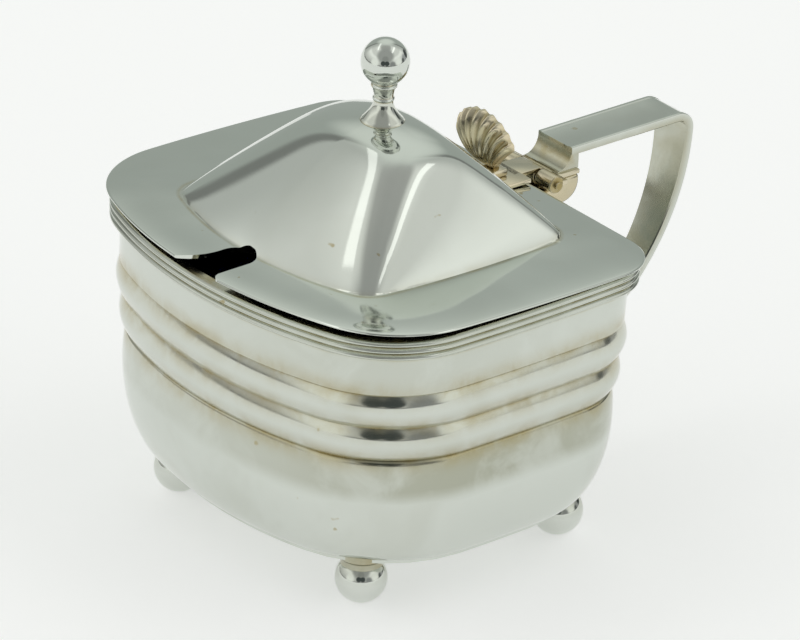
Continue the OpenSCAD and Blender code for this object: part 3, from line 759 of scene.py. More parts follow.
class POT_OT_body(bpy.types.Operator):
    """Raises the wall with its plain band, ribs and bulge"""

    bl_idname = "pot.body"
    bl_label = "Body wall"

    def execute(self, context):
        s = context.scene.pot_body
        rim_base, rib_top, bulge_top, bulge_z = heights()
        creases = [rim_base] + [rib_top - s.rib_h * k for k in range(s.ribs + 1)]
        outside = body_profile()
        inside = [(inset + s.wall, max(z, s.base_top + BASE_GAP)) for inset, z in reversed(outside)]
        rings = [level(plan(inset, z), z) for inset, z in outside + inside]
        marks = []
        for _, z in outside:
            crease = max(near(z, creases, CREASE_LINE), 0.7 * near(z, creases[1:], CREASE_GLOW))
            # Painted shade: the wall's top behind the rim gets a full mark, and the whole inside gets 0.9 on
            # the next line; the crease marks are real tarnish
            marks.append(1.0 if z > rim_base + MM else crease)
        marks += [0.9 for _ in inside]
        wall = loft("body_wall", closed(rings), closed(marks))

        # Painted reflection over a thin real film: warm patches on the band and the upper bulge, heaviest
        # toward the near corner
        def film(p):
            around = math.degrees(math.atan2(p.y, p.x - POT_X))
            if p.z > rib_top:
                return 0.12 + 0.25 * near(around, [BAND_REFLECTION_FILM], BAND_REFLECTION_FILM_SPREAD)
            if p.z > bulge_top:
                return 0.08
            most = 0.3 + 0.65 * near(around, [BULGE_REFLECTION_FILM], BULGE_REFLECTION_FILM_SPREAD)
            return max(0.0, most * min(1.0, (p.z - bulge_z + REFLECTION_FILM_START) / REFLECTION_FILM_RISE))

        paint(wall, film, "film")
        settle(wall, "pot", "Body silver", "body_shell")
        return {"FINISHED"}


class POT_OT_rim(bpy.types.Operator):
    """Models the reeded wire round the mouth"""

    bl_idname = "pot.rim"
    bl_label = "Reeded rim"

    def execute(self, context):
        s = context.scene.pot_body
        steps = s.reeds * REED_STEPS
        line, marks = [], []
        for k in range(steps + 1):
            wave = abs(math.sin(math.pi * k / REED_STEPS))
            line.append((s.band_inset - s.reed_back - s.reed_rise * wave, s.rim_top - s.rim_h * k / steps))
            marks.append(max(0.0, 1 - 2.6 * wave))
        line += [(s.band_inset, s.rim_top - s.rim_h), (s.band_inset, s.rim_top)]
        # Painted shade: the rim's back and top get full marks, darkening the top that lies in shade under the
        # lid's edge
        marks += [1.0, 1.0]
        rings = [level(plan(inset, z), z) for inset, z in line]
        rim = loft("reeded_rim", closed(rings), closed(marks))
        paint(rim, lambda p: 0.45, "film")
        settle(rim, "pot", "Rim silver", "rim_moulding")
        return {"FINISHED"}


# Rings over a foot's ball
BALL_STEPS = 40
# Step from a neck's stem to its pad, the pad's place under the base's top, and its reach into the body
NECK_STEP, PAD_DROP, NECK_REACH = 0.5 * MM, 1.15 * MM, 0.6 * MM
# Tarnish on a neck from its foot to its top
NECK_MARKS = (0.9, 0.9, 0.6, 0.6, 0.9, 0.7, 0.6, 0.5, 0.5)


class POT_OT_feet(bpy.types.Operator):
    """Turns a ball foot and its neck at each corner"""

    bl_idname = "pot.feet"
    bl_label = "Ball feet"

    def execute(self, context):
        s = context.scene.pot_body
        for foot in FEET:
            low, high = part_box("foot_ball_" + foot)
            place = middle_of("foot_ball_" + foot)
            radius = (high[0] - low[0]) / 2
            z = high[2] - radius
            flat = math.sqrt(max(radius**2 - (z - low[2]) ** 2, 0))
            profile = [(0.0, low[2]), (flat * 0.6, low[2])]
            first = -math.asin((z - low[2]) / radius)
            angles = [first + (math.pi / 2 - first) * k / BALL_STEPS for k in range(BALL_STEPS + 1)]
            profile += [(max(radius * math.cos(a), 0.0), z + radius * math.sin(a)) for a in angles]
            ball = turned("ball_" + foot, profile, None, (place.x - POT_X, place.y))
            # Painted reflection: film grows from the ball's middle up to 0.7 at its top, darkening the top
            paint(ball, lambda p: max(0.0, min(0.7, (p.z - z) / radius)), "film")
            settle(ball, "pot", "Bright silver", "foot_ball_" + foot)
            neck_low, neck_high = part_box("foot_neck_" + foot)
            lip = (neck_high[1] - neck_low[1]) / 2
            stem = lip - NECK_STEP
            under = s.base_top - PAD_DROP
            foot_z, top = neck_low[2], neck_high[2] + NECK_REACH
            line = [
                (0.0, foot_z), (stem - 0.7 * MM, foot_z), (stem, foot_z + 0.25 * MM),
                (stem, under - 0.5 * MM), (stem + 0.2 * MM, under - 0.15 * MM), (lip, under + 0.1 * MM),
                (lip, top - 0.2 * MM), (lip - 0.4 * MM, top), (0.0, top),
            ]
            neck = turned("neck_" + foot, line, NECK_MARKS, (place.x - POT_X, place.y))
            paint(neck, lambda p: 0.9, "film")
            settle(neck, "pot", "Body silver", "foot_neck_" + foot)
        return {"FINISHED"}


# Lid


# Rings over the dome, the flange and its edge, and points on the spoon cut's lips and round end
DOME_STEPS, FLANGE_STEPS, EDGE_STEPS, LIP_STEPS, ROUND_STEPS = 64, 20, 8, 16, 12
# Draws the dome's rings together towards its foot
FOOT_BIAS = 1.4
# Share of the ridges' softness at the dome's foot, and how much it grows up to the crown
RIDGE_FOOT, RIDGE_GROWTH = 0.7, 1.0
# Width of the crease round the dome's foot
DOME_CREASE = 0.2 * MM
# How far the spoon's cutter reaches past the lid's edge, and how far short of it the narrow lip starts
CUT_PAST, LIP_SHORT = 2 * MM, 0.3 * MM
# The wide lip starts past the lid's edge at this many sweeps, and falls by this power
SWEEP_START, SWEEP_POWER = 1.7, 2.6


def lid_heights():
    """Underside and top of the level flange, and the stem's seat."""
    b, d, _ = sizes()
    under = b.rim_top + d.gap
    top = under + d.sheet
    return under, top, top + d.dome_h - d.seat


def dome_base(inset):
    """The dome's base outline drawn in by an inset."""
    b, d, _ = sizes()
    return cushion(
        d.dome_front - inset, d.dome_rear - inset, d.dome_half_y - inset,
        d.dome_front_bow, b.rear_bow, b.side_bow, d.dome_corner, d.dome_corner,
    )


def soft_min(a, b, softness):
    """The lower of two heights, with their meeting softened."""
    return (a + b) / 2 - math.hypot((a - b) / 2, softness)


def sag(radius, x):
    """How far an arc falls away at x from its middle."""
    return radius - math.sqrt(radius * radius - x * x)


def swollen(height):
    """A dome face's height with a slight swell between its foot and the crown, and a steeper foot."""
    d = bpy.context.scene.pot_lid
    part = height / d.dome_h
    if part <= 0 or part >= 1:
        return height
    foot = d.foot_swell * (1 - math.exp(-height / d.foot_rise)) * (1 - part)
    # The swell is fullest a third of the way up, where this hump is 4 / 27
    hump = part * (1 - part) ** 2
    return height + foot + d.face_swell * hump * 27 / 4


def dome_height(p, inset):
    """Height of the dome over its flange: the lowest of its four faces and its crown."""
    body, d, _ = sizes()
    f, r, b = d.dome_front - inset, d.dome_rear - inset, d.dome_half_y - inset
    front = d.front_slope * (f + p.x - sag(arc_radius(b, d.dome_front_bow), p.y))
    rear = d.rear_slope * (r - p.x - sag(arc_radius(b, body.rear_bow), p.y))
    fall = sag(arc_radius((f + r) / 2, body.side_bow), p.x - (r - f) / 2)
    side = d.side_slope * (b - abs(p.y) - fall)
    front, rear, side = (swollen(height) for height in (front, rear, side))
    up = max(0.0, min(front, rear, side)) / d.dome_h
    softness = d.ridge_soft * (RIDGE_FOOT + RIDGE_GROWTH * up)
    faces = soft_min(soft_min(front, rear, softness), side, softness)
    return max(0.0, soft_min(faces, d.dome_h - p.length_squared / (2 * d.crown), d.crown_soft))


def dome_ring(part, inset, z):
    """The dome's base shrunk to a part of itself and lifted to the dome."""
    shrunk = [part * p for p in dome_base(inset)]
    return [Vector((POT_X + p.x, p.y, z + dome_height(p, inset))) for p in shrunk]


def spoon_cut():
    """Outline of the spoon cut in plan, with its round end and flared lips."""
    b, d, _ = sizes()
    edge = b.lid_front + CUT_PAST
    inner = d.dome_front - d.cut_bite + d.cut_half
    half = d.cut_half
    lip = b.lid_front - LIP_SHORT - d.cut_flare
    end = arc((-inner, 0), half, math.pi / 2, 0, ROUND_STEPS)
    turn_in = arc((-lip, half + d.cut_flare), d.cut_flare, math.pi, 1.5 * math.pi, ROUND_STEPS)
    narrow = [Vector((-edge, half + d.cut_flare))] + turn_in + end
    wide = []
    for k in range(LIP_STEPS + 1):
        f = k / LIP_STEPS
        swing = d.cut_sweep * SWEEP_START * (1 - f) ** SWEEP_POWER
        wide.append(Vector((-edge + f * (edge - inner), half + swing)))
    outline = wide + end[1:] + [Vector((p.x, -p.y)) for p in reversed(narrow[:-1])]
    return [p + Vector((0, d.cut_shift)) for p in outline]


class POT_OT_lid(bpy.types.Operator):
    """Models the flange and dome of the lid and cuts the slot for the spoon"""

    bl_idname = "pot.lid"
    bl_label = "Lid"

    def execute(self, context):
        b, d, _ = sizes()
        under, top, _ = lid_heights()
        parts = [1 - (1 - k / DOME_STEPS) ** FOOT_BIAS for k in range(DOME_STEPS + 1)]
        outer = [(dome_ring(part, 0, top), 0.25 * near(part, [1.0], 0.02)) for part in parts]
        crease = level(dome_base(-DOME_CREASE), top)
        nose = d.sheet / 2
        edge = level(plan(nose, b.rim_top), top)
        for k in range(FLANGE_STEPS):
            f = k / FLANGE_STEPS
            drop = Vector((0, 0, d.edge_roll * f**4 + d.dish * math.sin(math.pi * f)))
            outer.append(([p.lerp(q, f) - drop for p, q in zip(crease, edge)], 0.65 if k == 0 else 0.0))
        for k in range(EDGE_STEPS + 1):
            a = math.pi / 2 - math.pi * k / EDGE_STEPS
            inset = nose - nose * math.cos(a)
            z = under + nose + nose * math.sin(a) - d.edge_roll * (1 + math.sin(a)) / 2
            outer.append((level(plan(inset, b.rim_top), z), 0.0))
        # Painted shade over some real tarnish: the lid's underside is marked 0.3
        inner = [(dome_ring(part, d.sheet, under), 0.3) for part in reversed(parts)]
        rings = outer + inner
        lid = loft("lid_sheet", [r for r, _ in rings], [m for _, m in rings])
        cutter = outline_plate("spoon_cutter", level(spoon_cut(), under - MM), (0, 0, d.sheet + 2 * MM))
        cut(lid, cutter)
        turn(lid, lid_turn())
        settle(lid, "lid", "Lid silver", "lid_cover", 28)
        return {"FINISHED"}


# Rings over the stem's flare, over each of its beads and over the ball
FLARE_STEPS, BEAD_STEPS, KNOB_STEPS = 20, 8, 48
# The stem's foot: how deep it is let in, its lip past the flare and the flare's start over the crown
FOOT_DEPTH, FOOT_LIP, FLARE_START = 0.6 * MM, 0.05 * MM, 0.1 * MM
# Share of the stem's height that the flare takes, and the power of its curve
FLARE_SHARE, FLARE_POWER = 0.5, 1.7
# The waist's bead: its rise, its height and its place over the flare
WAIST_BEAD, WAIST_BEAD_H, WAIST_BEAD_Z = 0.22 * MM, 0.7 * MM, 0.2 * MM
# The collar's bead: its rise, half its height and its place under the ball's seat
COLLAR_BEAD, COLLAR_BEAD_H, COLLAR_BEAD_Z = 0.3 * MM, 0.35 * MM, 0.5 * MM
# The neck between them: how much it widens and how far under the seat it ends
NECK_SPREAD, NECK_END = 0.35 * MM, 0.9 * MM
# How far the stem's tenon goes into the ball
BALL_TENON = 0.5 * MM


class POT_OT_finial(bpy.types.Operator):
    """Turns the finial's stem and its ball"""

    bl_idname = "pot.finial"
    bl_label = "Finial"

    def execute(self, context):
        d = context.scene.pot_lid
        apex = lid_heights()[2]
        seat = apex + d.stem_h
        flare = FLARE_SHARE * d.stem_h
        lip = d.stem_foot + FOOT_LIP
        line = [(0.0, apex - FOOT_DEPTH), (lip, apex - FOOT_DEPTH), (lip, apex - 0.05 * MM)]
        line.append((lip - 0.1 * MM, apex + 0.02 * MM))
        marks = [0.0, 1.0, 0.9, 0.5]
        for k in range(1, FLARE_STEPS + 1):
            f = k / FLARE_STEPS
            radius = d.stem_waist + (d.stem_foot - d.stem_waist) * (1 - f) ** FLARE_POWER
            line.append((radius, apex + FLARE_START + (flare - FLARE_START) * f))
            marks.append(0.15)
        bead = apex + flare + WAIST_BEAD_Z
        for k in range(BEAD_STEPS + 1):
            f = k / BEAD_STEPS
            line.append((d.stem_waist + WAIST_BEAD * math.sin(math.pi * f), bead + WAIST_BEAD_H * f))
            marks.append(0.8 if k in (0, BEAD_STEPS) else 0.0)
        neck, neck_top = bead + WAIST_BEAD_H, seat - NECK_END
        for k in range(1, BEAD_STEPS + 1):
            f = k / BEAD_STEPS
            line.append((d.stem_waist + NECK_SPREAD * f * f, neck + (neck_top - neck) * f))
            marks.append(0.2)
        for k in range(BEAD_STEPS + 1):
            a = math.pi * (k / BEAD_STEPS - 0.5)
            radius = d.collar - COLLAR_BEAD + COLLAR_BEAD * math.cos(a)
            line.append((radius, seat - COLLAR_BEAD_Z + COLLAR_BEAD_H * math.sin(a)))
            marks.append(0.8 if k in (0, BEAD_STEPS) else 0.1)
        line += [(d.stem_waist, seat + BALL_TENON), (0.0, seat + BALL_TENON)]
        marks += [1.0, 1.0]
        stem = turned("finial_spool", line, marks)
        turn(stem, lid_turn())
        settle(stem, "lid", "Body silver", "finial_stem")
        z = seat + math.sqrt(d.ball**2 - (d.collar - COLLAR_BEAD) ** 2)
        angles = [-math.pi / 2 + math.pi * k / KNOB_STEPS for k in range(KNOB_STEPS + 1)]
        line = [(max(d.ball * math.cos(a), 0.0), z + d.ball * math.sin(a)) for a in angles]
        ball = turned("finial_knob", line)
        turn(ball, lid_turn())
        settle(ball, "lid", "Body silver", "finial_ball")
        return {"FINISHED"}


# Points across each flute and up the shell
FLUTE_STEPS, SHELL_STEPS = 14, 22
# How far the flutes scallop the shell's edge, how much its sides fall short, and its thin edge
SCALLOP, SIDE_FALL, THIN_EDGE, THIN_FROM = 0.02, 0.92, 0.4, 0.85
# The block under the shell: its reach in front of the shell and behind it, and half its width
BLOCK_FRONT, BLOCK_REAR, BLOCK_HALF = 1.9 * MM, 1.5 * MM, 2.4 * MM


class POT_OT_thumbpiece(bpy.types.Operator):
    """Models the fluted shell and the block under it"""

    bl_idname = "pot.thumbpiece"
    bl_label = "Shell thumbpiece"

    def execute(self, context):
        b, d, h = sizes()
        x = POT_X + b.lid_rear - d.shell_in
        z = lid_heights()[1] + h.leaf + d.shell_block
        across, up = d.flutes * FLUTE_STEPS, SHELL_STEPS

        def point(t, v, side):
            wave = math.cos(math.pi * d.flutes * t / d.shell_fan)
            r = d.shell_len * (1 - SCALLOP + SCALLOP * wave) * math.cos(SIDE_FALL * t)
            turned_to = d.shell_lean - d.shell_curl * v
            out = (math.cos(turned_to) - math.cos(d.shell_lean)) / d.shell_curl
            rise = (math.sin(d.shell_lean) - math.sin(turned_to)) / d.shell_curl
            thick = d.shell_t / 2
            if side < 0:
                thick += d.flute_depth * (1 + wave) * v
            thick *= 1 - THIN_EDGE * (max(0.0, v - THIN_FROM) / (1 - THIN_FROM)) ** 2
            y = (1 - v) * d.shell_root * t / d.shell_fan + v * r * math.sin(t)
            return Vector((x + side * thick - r * math.cos(t) * out, y, z + r * math.cos(t) * rise))

        levels = [k / up for k in range(up + 1)]
        rings, marks = [], []
        for i in range(across + 1):
            t = d.shell_fan * (1 - 2 * i / across)
            wave = math.cos(math.pi * d.flutes * t / d.shell_fan)
            rings.append([point(t, v, -1) for v in levels] + [point(t, v, 1) for v in reversed(levels)])
            valley = max(0.0, -wave) * 0.9
            marks.append([max(valley, 1 - 3 * v) for v in levels] + [0.6 * valley + 0.2 for _ in levels])
        shell = loft("fluted_shell", rings, marks)
        turn(shell, lid_turn())
        settle(shell, "lid", "Warm silver", "thumbpiece", 40)
        low, high = (x - BLOCK_FRONT, -BLOCK_HALF, z - d.shell_block), (x + BLOCK_REAR, BLOCK_HALF, z)
        block = plate("shell_block", low, high, 0.4)
        turn(block, lid_turn())
        settle(block, "lid", "Warm silver", "thumbpiece_foot")
        return {"FINISHED"}


# Hinge and handle


# Points round a knuckle and over its rounded edge
BARREL_STEPS, BARREL_EDGE_STEPS = 40, 6
# Tarnish on a knuckle from the middle of its end to its barrel
KNUCKLE_MARKS = [1.0, 1.0, 0.9, 0.7, 0.5, 0.3, 0.2, 0.1]


def knuckle(name, radius, y0, y1):
    """A barrel along the hinge's axis, with rounded ends and a tarnished gap beside it."""
    soft = min(0.2 * radius, 0.15 * (y1 - y0))
    turns = [math.pi / 2 * k / BARREL_EDGE_STEPS for k in range(BARREL_EDGE_STEPS + 1)]
    first = [(radius - soft + soft * math.sin(t), y0 + soft - soft * math.cos(t)) for t in turns]
    profile = [(0.0, y0)] + first + [(r, y0 + y1 - y) for r, y in reversed(first)] + [(0.0, y1)]
    rings = []
    for r, y in profile:
        rings.append([
            Vector((HINGE.x + r * math.cos(a), y, HINGE.z + r * math.sin(a)))
            for a in (2 * math.pi * k / BARREL_STEPS for k in range(BARREL_STEPS))
        ])
    return loft(name, rings, KNUCKLE_MARKS + KNUCKLE_MARKS[::-1])


# Reach of the lid's leaf in front of the shell, its edge in from the lid's, and its tongue's overlap
LEAF_FRONT, LEAF_EDGE, TONGUE_OVERLAP = 2.2 * MM, 0.3 * MM, 2 * MM
# How far the body's tongues reach into its leaf
TONGUE_REACH = 0.5 * MM


class POT_OT_hinge(bpy.types.Operator):
    """Models the two hinge leaves with their knuckles, and the pin"""

    bl_idname = "pot.hinge"
    bl_label = "Hinge"

    def execute(self, context):
        b, d, h = sizes()
        top = lid_heights()[1]
        x = POT_X + b.lid_rear
        half, wide = h.middle_len / 2, h.lid_leaf_w / 2
        low = (x - d.shell_in - LEAF_FRONT, -wide, top)
        leaf = plate("lid_leaf", low, (x - LEAF_EDGE, wide, top + h.leaf), 0.3)
        tongue = plate("lid_tongue", (x - TONGUE_OVERLAP, -half, top), (HINGE.x, half, top + h.leaf), 0.15)
        leaf = join(leaf, tongue, knuckle("lid_knuckle", h.knuckle, -half, half))
        turn(leaf, lid_turn())
        settle(leaf, "lid", "Warm silver", "hinge_leaf_lid")
        inner, outer = half + h.knuckle_gap, h.hinge_len / 2
        rear = HINGE.x + h.riser_back + h.strap_t
        front = HINGE.x + h.knuckle + h.clear
        under, over = HINGE.z - h.leaf / 2, HINGE.z + h.leaf / 2
        wide = h.bracket_w / 2
        parts = [plate("body_leaf", (front, -wide, under), (rear, wide, over), 0.25)]
        for side in (-1, 1):
            y0, y1 = sorted((side * inner, side * (outer - h.knuckle_gap)))
            parts.append(knuckle("body_knuckle", h.knuckle, y0, y1))
            high = (front + TONGUE_REACH, y1, over)
            parts.append(plate("knuckle_tongue", (HINGE.x, y0, under), high, 0.15))
        leaf = join(*parts)
        settle(leaf, "pot", "Warm silver", "hinge_leaf_body")
        low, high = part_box("hinge_pin")
        pin = knuckle("hinge_rivet", (high[2] - low[2]) / 2, low[1], high[1])
        settle(pin, "pot", "Warm silver", "hinge_pin")
        return {"FINISHED"}


# Places along the strap's top, its corner, its back and its lower bend
TOP_STEPS, BEND_STEPS, BACK_STEPS, LOWER_STEPS = 12, 12, 28, 20


def bend_path(centre, radius, start, stop, steps):
    """Places on an arc of the strap's outer line after its first, with their outward directions."""
    path = []
    for k in range(1, steps + 1):
        a = start + (stop - start) * k / steps
        out = Vector((math.cos(a), math.sin(a)))
        path.append((centre + radius * out, out))
    return path


def strap_path():
    """Places along the strap's outer line with their outward directions, from its front end to its pad."""
    b, _, h = sizes()
    top = b.rim_top + h.strap_rise
    front = HINGE.x - POT_X + h.riser_back
    bend = h.reach - h.strap_corner
    path = []
    for k in range(TOP_STEPS + 1):
        path.append((Vector((front + (bend - front) * k / TOP_STEPS, top)), Vector((0, 1))))
    centre = Vector((bend, top - h.strap_corner))
    path += bend_path(centre, h.strap_corner, math.pi / 2, 0, BEND_STEPS)
    centre = Vector((h.reach - h.back_r, top - h.strap_corner))
    path += bend_path(centre, h.back_r, 0, -h.back_turn, BACK_STEPS)
    centre = path[-1][0] - h.lower_r * path[-1][1]
    path += bend_path(centre, h.lower_r, -h.back_turn, -math.pi / 2, LOWER_STEPS)
    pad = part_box("handle_pad")[1][0] - POT_X
    path.append((Vector((pad, path[-1][0].y)), Vector((0, -1))))
    return path


# Points over a thread, the strap's soft back edges and the dip of the field between its threads
THREAD_STEPS = 8
STRAP_SOFT, FIELD_DIP = 0.2 * MM, 0.03 * MM


def strap_section(width, thickness, thread_w, thread_h):
    """Across and outward places round the strap: a flat back and a field between two raised threads."""
    half, field = width / 2, width / 2 - thread_w
    back = [(half - STRAP_SOFT, -thickness), (half, -thickness + STRAP_SOFT)]
    side = []
    for k in range(THREAD_STEPS + 1):
        a = math.pi * k / THREAD_STEPS
        side.append((half - thread_w / 2 + thread_w / 2 * math.cos(a), -thread_h + thread_h * math.sin(a)))
    side += [(field - 0.15 * MM, -thread_h), (field - 0.6 * MM, -thread_h - FIELD_DIP)]
    right = back + side
    left = [(-across, out) for across, out in reversed(right)]
    return left[-2:] + right + left[:-2]


# Radius of the bracket's lower rear edge, and the soft rounding of its other edges
BRACKET_BELLY, BRACKET_SOFT = 3.6 * MM, 0.7 * MM
# Points on that edge and on the cove
BELLY_STEPS, COVE_STEPS = 10, 12
# The cove's block: its top under the strap's, its foot's edge and its sides in from the strap's
COVE_DROP, COVE_FOOT, COVE_IN = 0.3 * MM, 0.3 * MM, 0.05 * MM


class POT_OT_handle(bpy.types.Operator):
    """Models the bracket, the cove and riser and the threaded strap"""

    bl_idname = "pot.handle"
    bl_label = "Handle"

    def execute(self, context):
        b, _, h = sizes()
        path = strap_path()
        top, foot = path[0][0].y, path[-1][0].y
        rings, marks = [], []
        for place, out in path:
            width = h.strap_end_w + (h.strap_w - h.strap_end_w) * (place.y - foot) / (top - foot)
            section = strap_section(width, h.strap_t, h.thread_w, h.thread_h)
            rings.append([Vector((POT_X + place.x + out.x * n, y, place.y + out.y * n)) for y, n in section])
            inner = [n < -0.5 * h.strap_t for _, n in section]
            marks.append([0.4 if inside else 0.08 for inside in inner])
        strap = loft("threaded_strap", rings, marks)
        layer = strap.data.attributes.new("film", "FLOAT", "POINT")
        for index in range(len(path) * len(inner)):
            layer.data[index].value = 0.6 if inner[index % len(inner)] else 0.05
        riser = HINGE.x + h.riser_back
        foot_z = HINGE.z + h.leaf / 2
        toe = riser - h.cove - h.cove_toe
        rise = b.rim_top + h.strap_rise - COVE_DROP
        side = [(toe, foot_z), (toe, foot_z + COVE_FOOT)]
        for k in range(COVE_STEPS + 1):
            a = math.pi / 2 * (k / COVE_STEPS - 1)
            x = riser - h.cove + h.cove * math.cos(a)
            side.append((x, rise + (rise - foot_z - COVE_FOOT) * math.sin(a)))
        side += [(riser + h.strap_t, rise), (riser + h.strap_t, foot_z)]
        half = h.strap_w / 2 - COVE_IN
        cove = outline_plate("cove", [Vector((x, -half, z)) for x, z in side], (0, 2 * half, 0))
        paint(cove, lambda p: 1.5 - 1.1 * abs(p.z - foot_z - 2 * MM) / (2 * MM))
        paint(cove, lambda p: 0.6, "film")
        strap = join(strap, cove)
        settle(strap, "pot", "Strap silver", "handle_strap")
        low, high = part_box("handle_bracket")
        step = HINGE.z - h.knuckle - h.clear
        front = HINGE.x + h.knuckle + h.clear
        centre = (high[0] - BRACKET_BELLY, low[2] + BRACKET_BELLY)
        belly = arc(centre, BRACKET_BELLY, -math.pi / 2, 0, BELLY_STEPS)
        side = [(low[0], low[2]), *belly, (high[0], low[2] + BRACKET_BELLY), (high[0], high[2])]
        side += [(front, high[2]), (front, step), (low[0], step)]
        half = h.bracket_w / 2
        bracket = outline_plate("stepped_bracket", [Vector((x, -half, z)) for x, z in side], (0, 2 * half, 0))
        soften(bracket, BRACKET_SOFT)
        paint(bracket, lambda p: 0.25)
        settle(bracket, "pot", "Warm silver", "handle_bracket")
        return {"FINISHED"}


# Liner


# Points on the liner's lip and on its rounded foot
RIM_STEPS, FOOT_STEPS = 10, 16
# The glass: its play in the wall, its thickness, the height of its rounded foot and how far that draws in
LINER_PLAY, GLASS, LINER_FOOT, LINER_DRAWN = 0.7 * MM, 2 * MM, 12 * MM, 10 * MM


class POT_OT_liner(bpy.types.Operator):
    """Models the lift-out glass"""

    bl_idname = "pot.liner"
    bl_label = "Glass liner"

    def execute(self, context):
        s = context.scene.pot_body
        low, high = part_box("glass_liner")
        outside = s.crease_inset + s.ribs * s.crease_step + s.wall + LINER_PLAY
        foot_z, top = low[2] + LINER_FOOT, high[2]
        angles = [math.pi / 2 * k / FOOT_STEPS for k in range(FOOT_STEPS + 1)]

        def foot(t, wall):
            inset = outside + wall + (LINER_DRAWN - wall) * (1 - math.cos(t))
            return inset, foot_z - (LINER_FOOT - wall) * math.sin(t)

        lip = []
        for k in range(RIM_STEPS + 1):
            a = math.pi - math.pi * k / RIM_STEPS
            lip.append((outside + GLASS / 2 * (1 - math.cos(a)), top - GLASS / 2 * (1 - math.sin(a))))
        line = [foot(t, GLASS) for t in reversed(angles)] + lip + [foot(t, 0) for t in angles]
        rings = [level(plan(inset, z), z) for inset, z in line]
        liner = loft("blue_liner", rings)
        settle(liner, "pot", "Blue glass", "glass_liner")
        return {"FINISHED"}


class POT_OT_plain_nodes(bpy.types.Operator):
    """Gives the frame's own pieces their finish"""

    bl_idname = "pot.plain_nodes"
    bl_label = "Base, washer and pad"

    def execute(self, context):
        finishes = {"base_plate": "Body silver", "finial_washer": "Warm silver", "handle_pad": "Body silver"}
        for node, name in finishes.items():
            piece = frame["nodes"][node]
            piece.data.materials.clear()
            piece.data.materials.append(bpy.data.materials[name])
        return {"FINISHED"}


# Stage


# Camera fitted to the photograph: angles in degrees, lengths in metres
VIEW_AZIMUTH, VIEW_ELEVATION, VIEW_ROLL = -39.9, 26.1, 2.15
VIEW_DISTANCE, VIEW_SIDE, VIEW_HEIGHT = 1.5, 0.00446, 0.03655
# The frame's width and the fitted lens in pixels, and the distance at which that lens was fitted
FRAME_W, FIT_LENS, FIT_DISTANCE = 800, 4500, 0.7653
# Azimuth of the camera, seen from the object
VIEWER = VIEW_AZIMUTH - 90


def place_camera():
    """A long lens at the photograph's angle."""
    a, e, r = (math.radians(v) for v in (VIEW_AZIMUTH, VIEW_ELEVATION, VIEW_ROLL))
    back = Vector((math.sin(a) * math.cos(e), -math.cos(a) * math.cos(e), math.sin(e)))
    right = Vector((math.cos(a), math.sin(a), 0))
    up = back.cross(right)
    right_r = right * math.cos(r) + up * math.sin(r)
    up_r = up * math.cos(r) - right * math.sin(r)
    target = right * VIEW_SIDE + Vector((POT_X, 0, VIEW_HEIGHT))
    data = bpy.data.cameras.new("Camera")
    camera = bpy.data.objects.new("Camera", data)
    bpy.context.scene.collection.objects.link(camera)
    turn_matrix = Matrix((right_r, up_r, back)).transposed().to_4x4()
    camera.matrix_world = Matrix.Translation(target + back * VIEW_DISTANCE) @ turn_matrix
    data.sensor_width = 36
    data.lens = FIT_LENS / FIT_DISTANCE * VIEW_DISTANCE * data.sensor_width / FRAME_W
    data.clip_start, data.clip_end = 0.05, 50
    bpy.context.scene.camera = camera


def direction(azimuth, elevation):
    """Unit vector to a place round the object, in degrees."""
    a, e = math.radians(azimuth), math.radians(elevation)
    return Vector((math.cos(a) * math.cos(e), math.sin(a) * math.cos(e), math.sin(e)))


# Soft panels: azimuth and elevation in degrees, width and depth in metres, power in watts
LAMPS = {
    "Left panel": (118, 66, 0.5, 0.09, 0.07),
    "Right panel": (-46, 63, 0.5, 0.1, 0.08),
}
# Distance of the panels, and the height on the object that they look at, in metres
LAMP_DISTANCE, LAMP_HEIGHT = 0.9, 0.04


def soft_lamps():
    """Narrow soft panels that look at the object."""
    target = Vector((POT_X, 0, LAMP_HEIGHT))
    for name, (azimuth, elevation, width, depth, power) in LAMPS.items():
        data = bpy.data.lights.new(name, "AREA")
        data.shape = "RECTANGLE"
        data.size, data.size_y = width, depth
        data.energy = power
        lamp = bpy.data.objects.new(name, data)
        lamp.location = LAMP_DISTANCE * direction(azimuth, elevation)
        lamp.rotation_euler = (target - lamp.location).to_track_quat("-Z", "Y").to_euler()
        bpy.context.scene.collection.objects.link(lamp)


# Brightness of the room by height, from straight down at 0 to straight up at 1
ROOM_LEVELS = (
    (0.0, 0.8), (0.5, 0.20), (0.513, 0.22), (0.523, 0.56), (0.585, 0.66), (0.69, 0.9), (0.745, 1.06),
    (0.775, 1.0), (0.81, 0.80), (0.885, 0.80), (0.925, 0.92), (0.962, 0.88), (0.98, 0.48), (1.0, 0.44),
)
ROOM_TINT = (1.0, 1.015, 0.985)
# Round cards in the room, each over the ones before it:
# azimuth, elevation, outer and inner angle in degrees, colour
CARDS = (
    # Grey wall over the camera
    (VIEWER, 48, 46, 26, (0.40, 0.41, 0.40)),
    # White cards low in front and to the right
    (180, 9, 24, 9, (1.0, 1.02, 0.98)),
    (-64, 10, 22, 6, (1.0, 1.02, 0.98)),
    # Grey and dark cards low on the right
    (-96, 7, 18, 7, (0.30, 0.31, 0.31)),
    (-28, 7, 18, 7, (0.40, 0.41, 0.42)),
    (-38, 6, 9, 5, (0.14, 0.15, 0.15)),
    # Large grey card behind the object, with a dark edge and a paler middle and top
    (50, 20, 68, 47, (0.55, 0.57, 0.55)),
    (50, 20, 45, 42.5, (0.24, 0.25, 0.24)),
    (50, 20, 40, 36, (0.42, 0.455, 0.43)),
    (50, 52, 30, 8, (0.78, 0.82, 0.78)),
    # Dark card low behind the handle
    (-6, 9, 12, 10, (0.08, 0.09, 0.09)),
    # Dark shapes round the camera
    (VIEWER, 33, 18, 10, (0.32, 0.33, 0.32)),
    (VIEWER + 8, 13, 12, 10, (0.07, 0.08, 0.08)),
    (VIEWER - 10, 13, 12, 10, (0.07, 0.08, 0.08)),
)


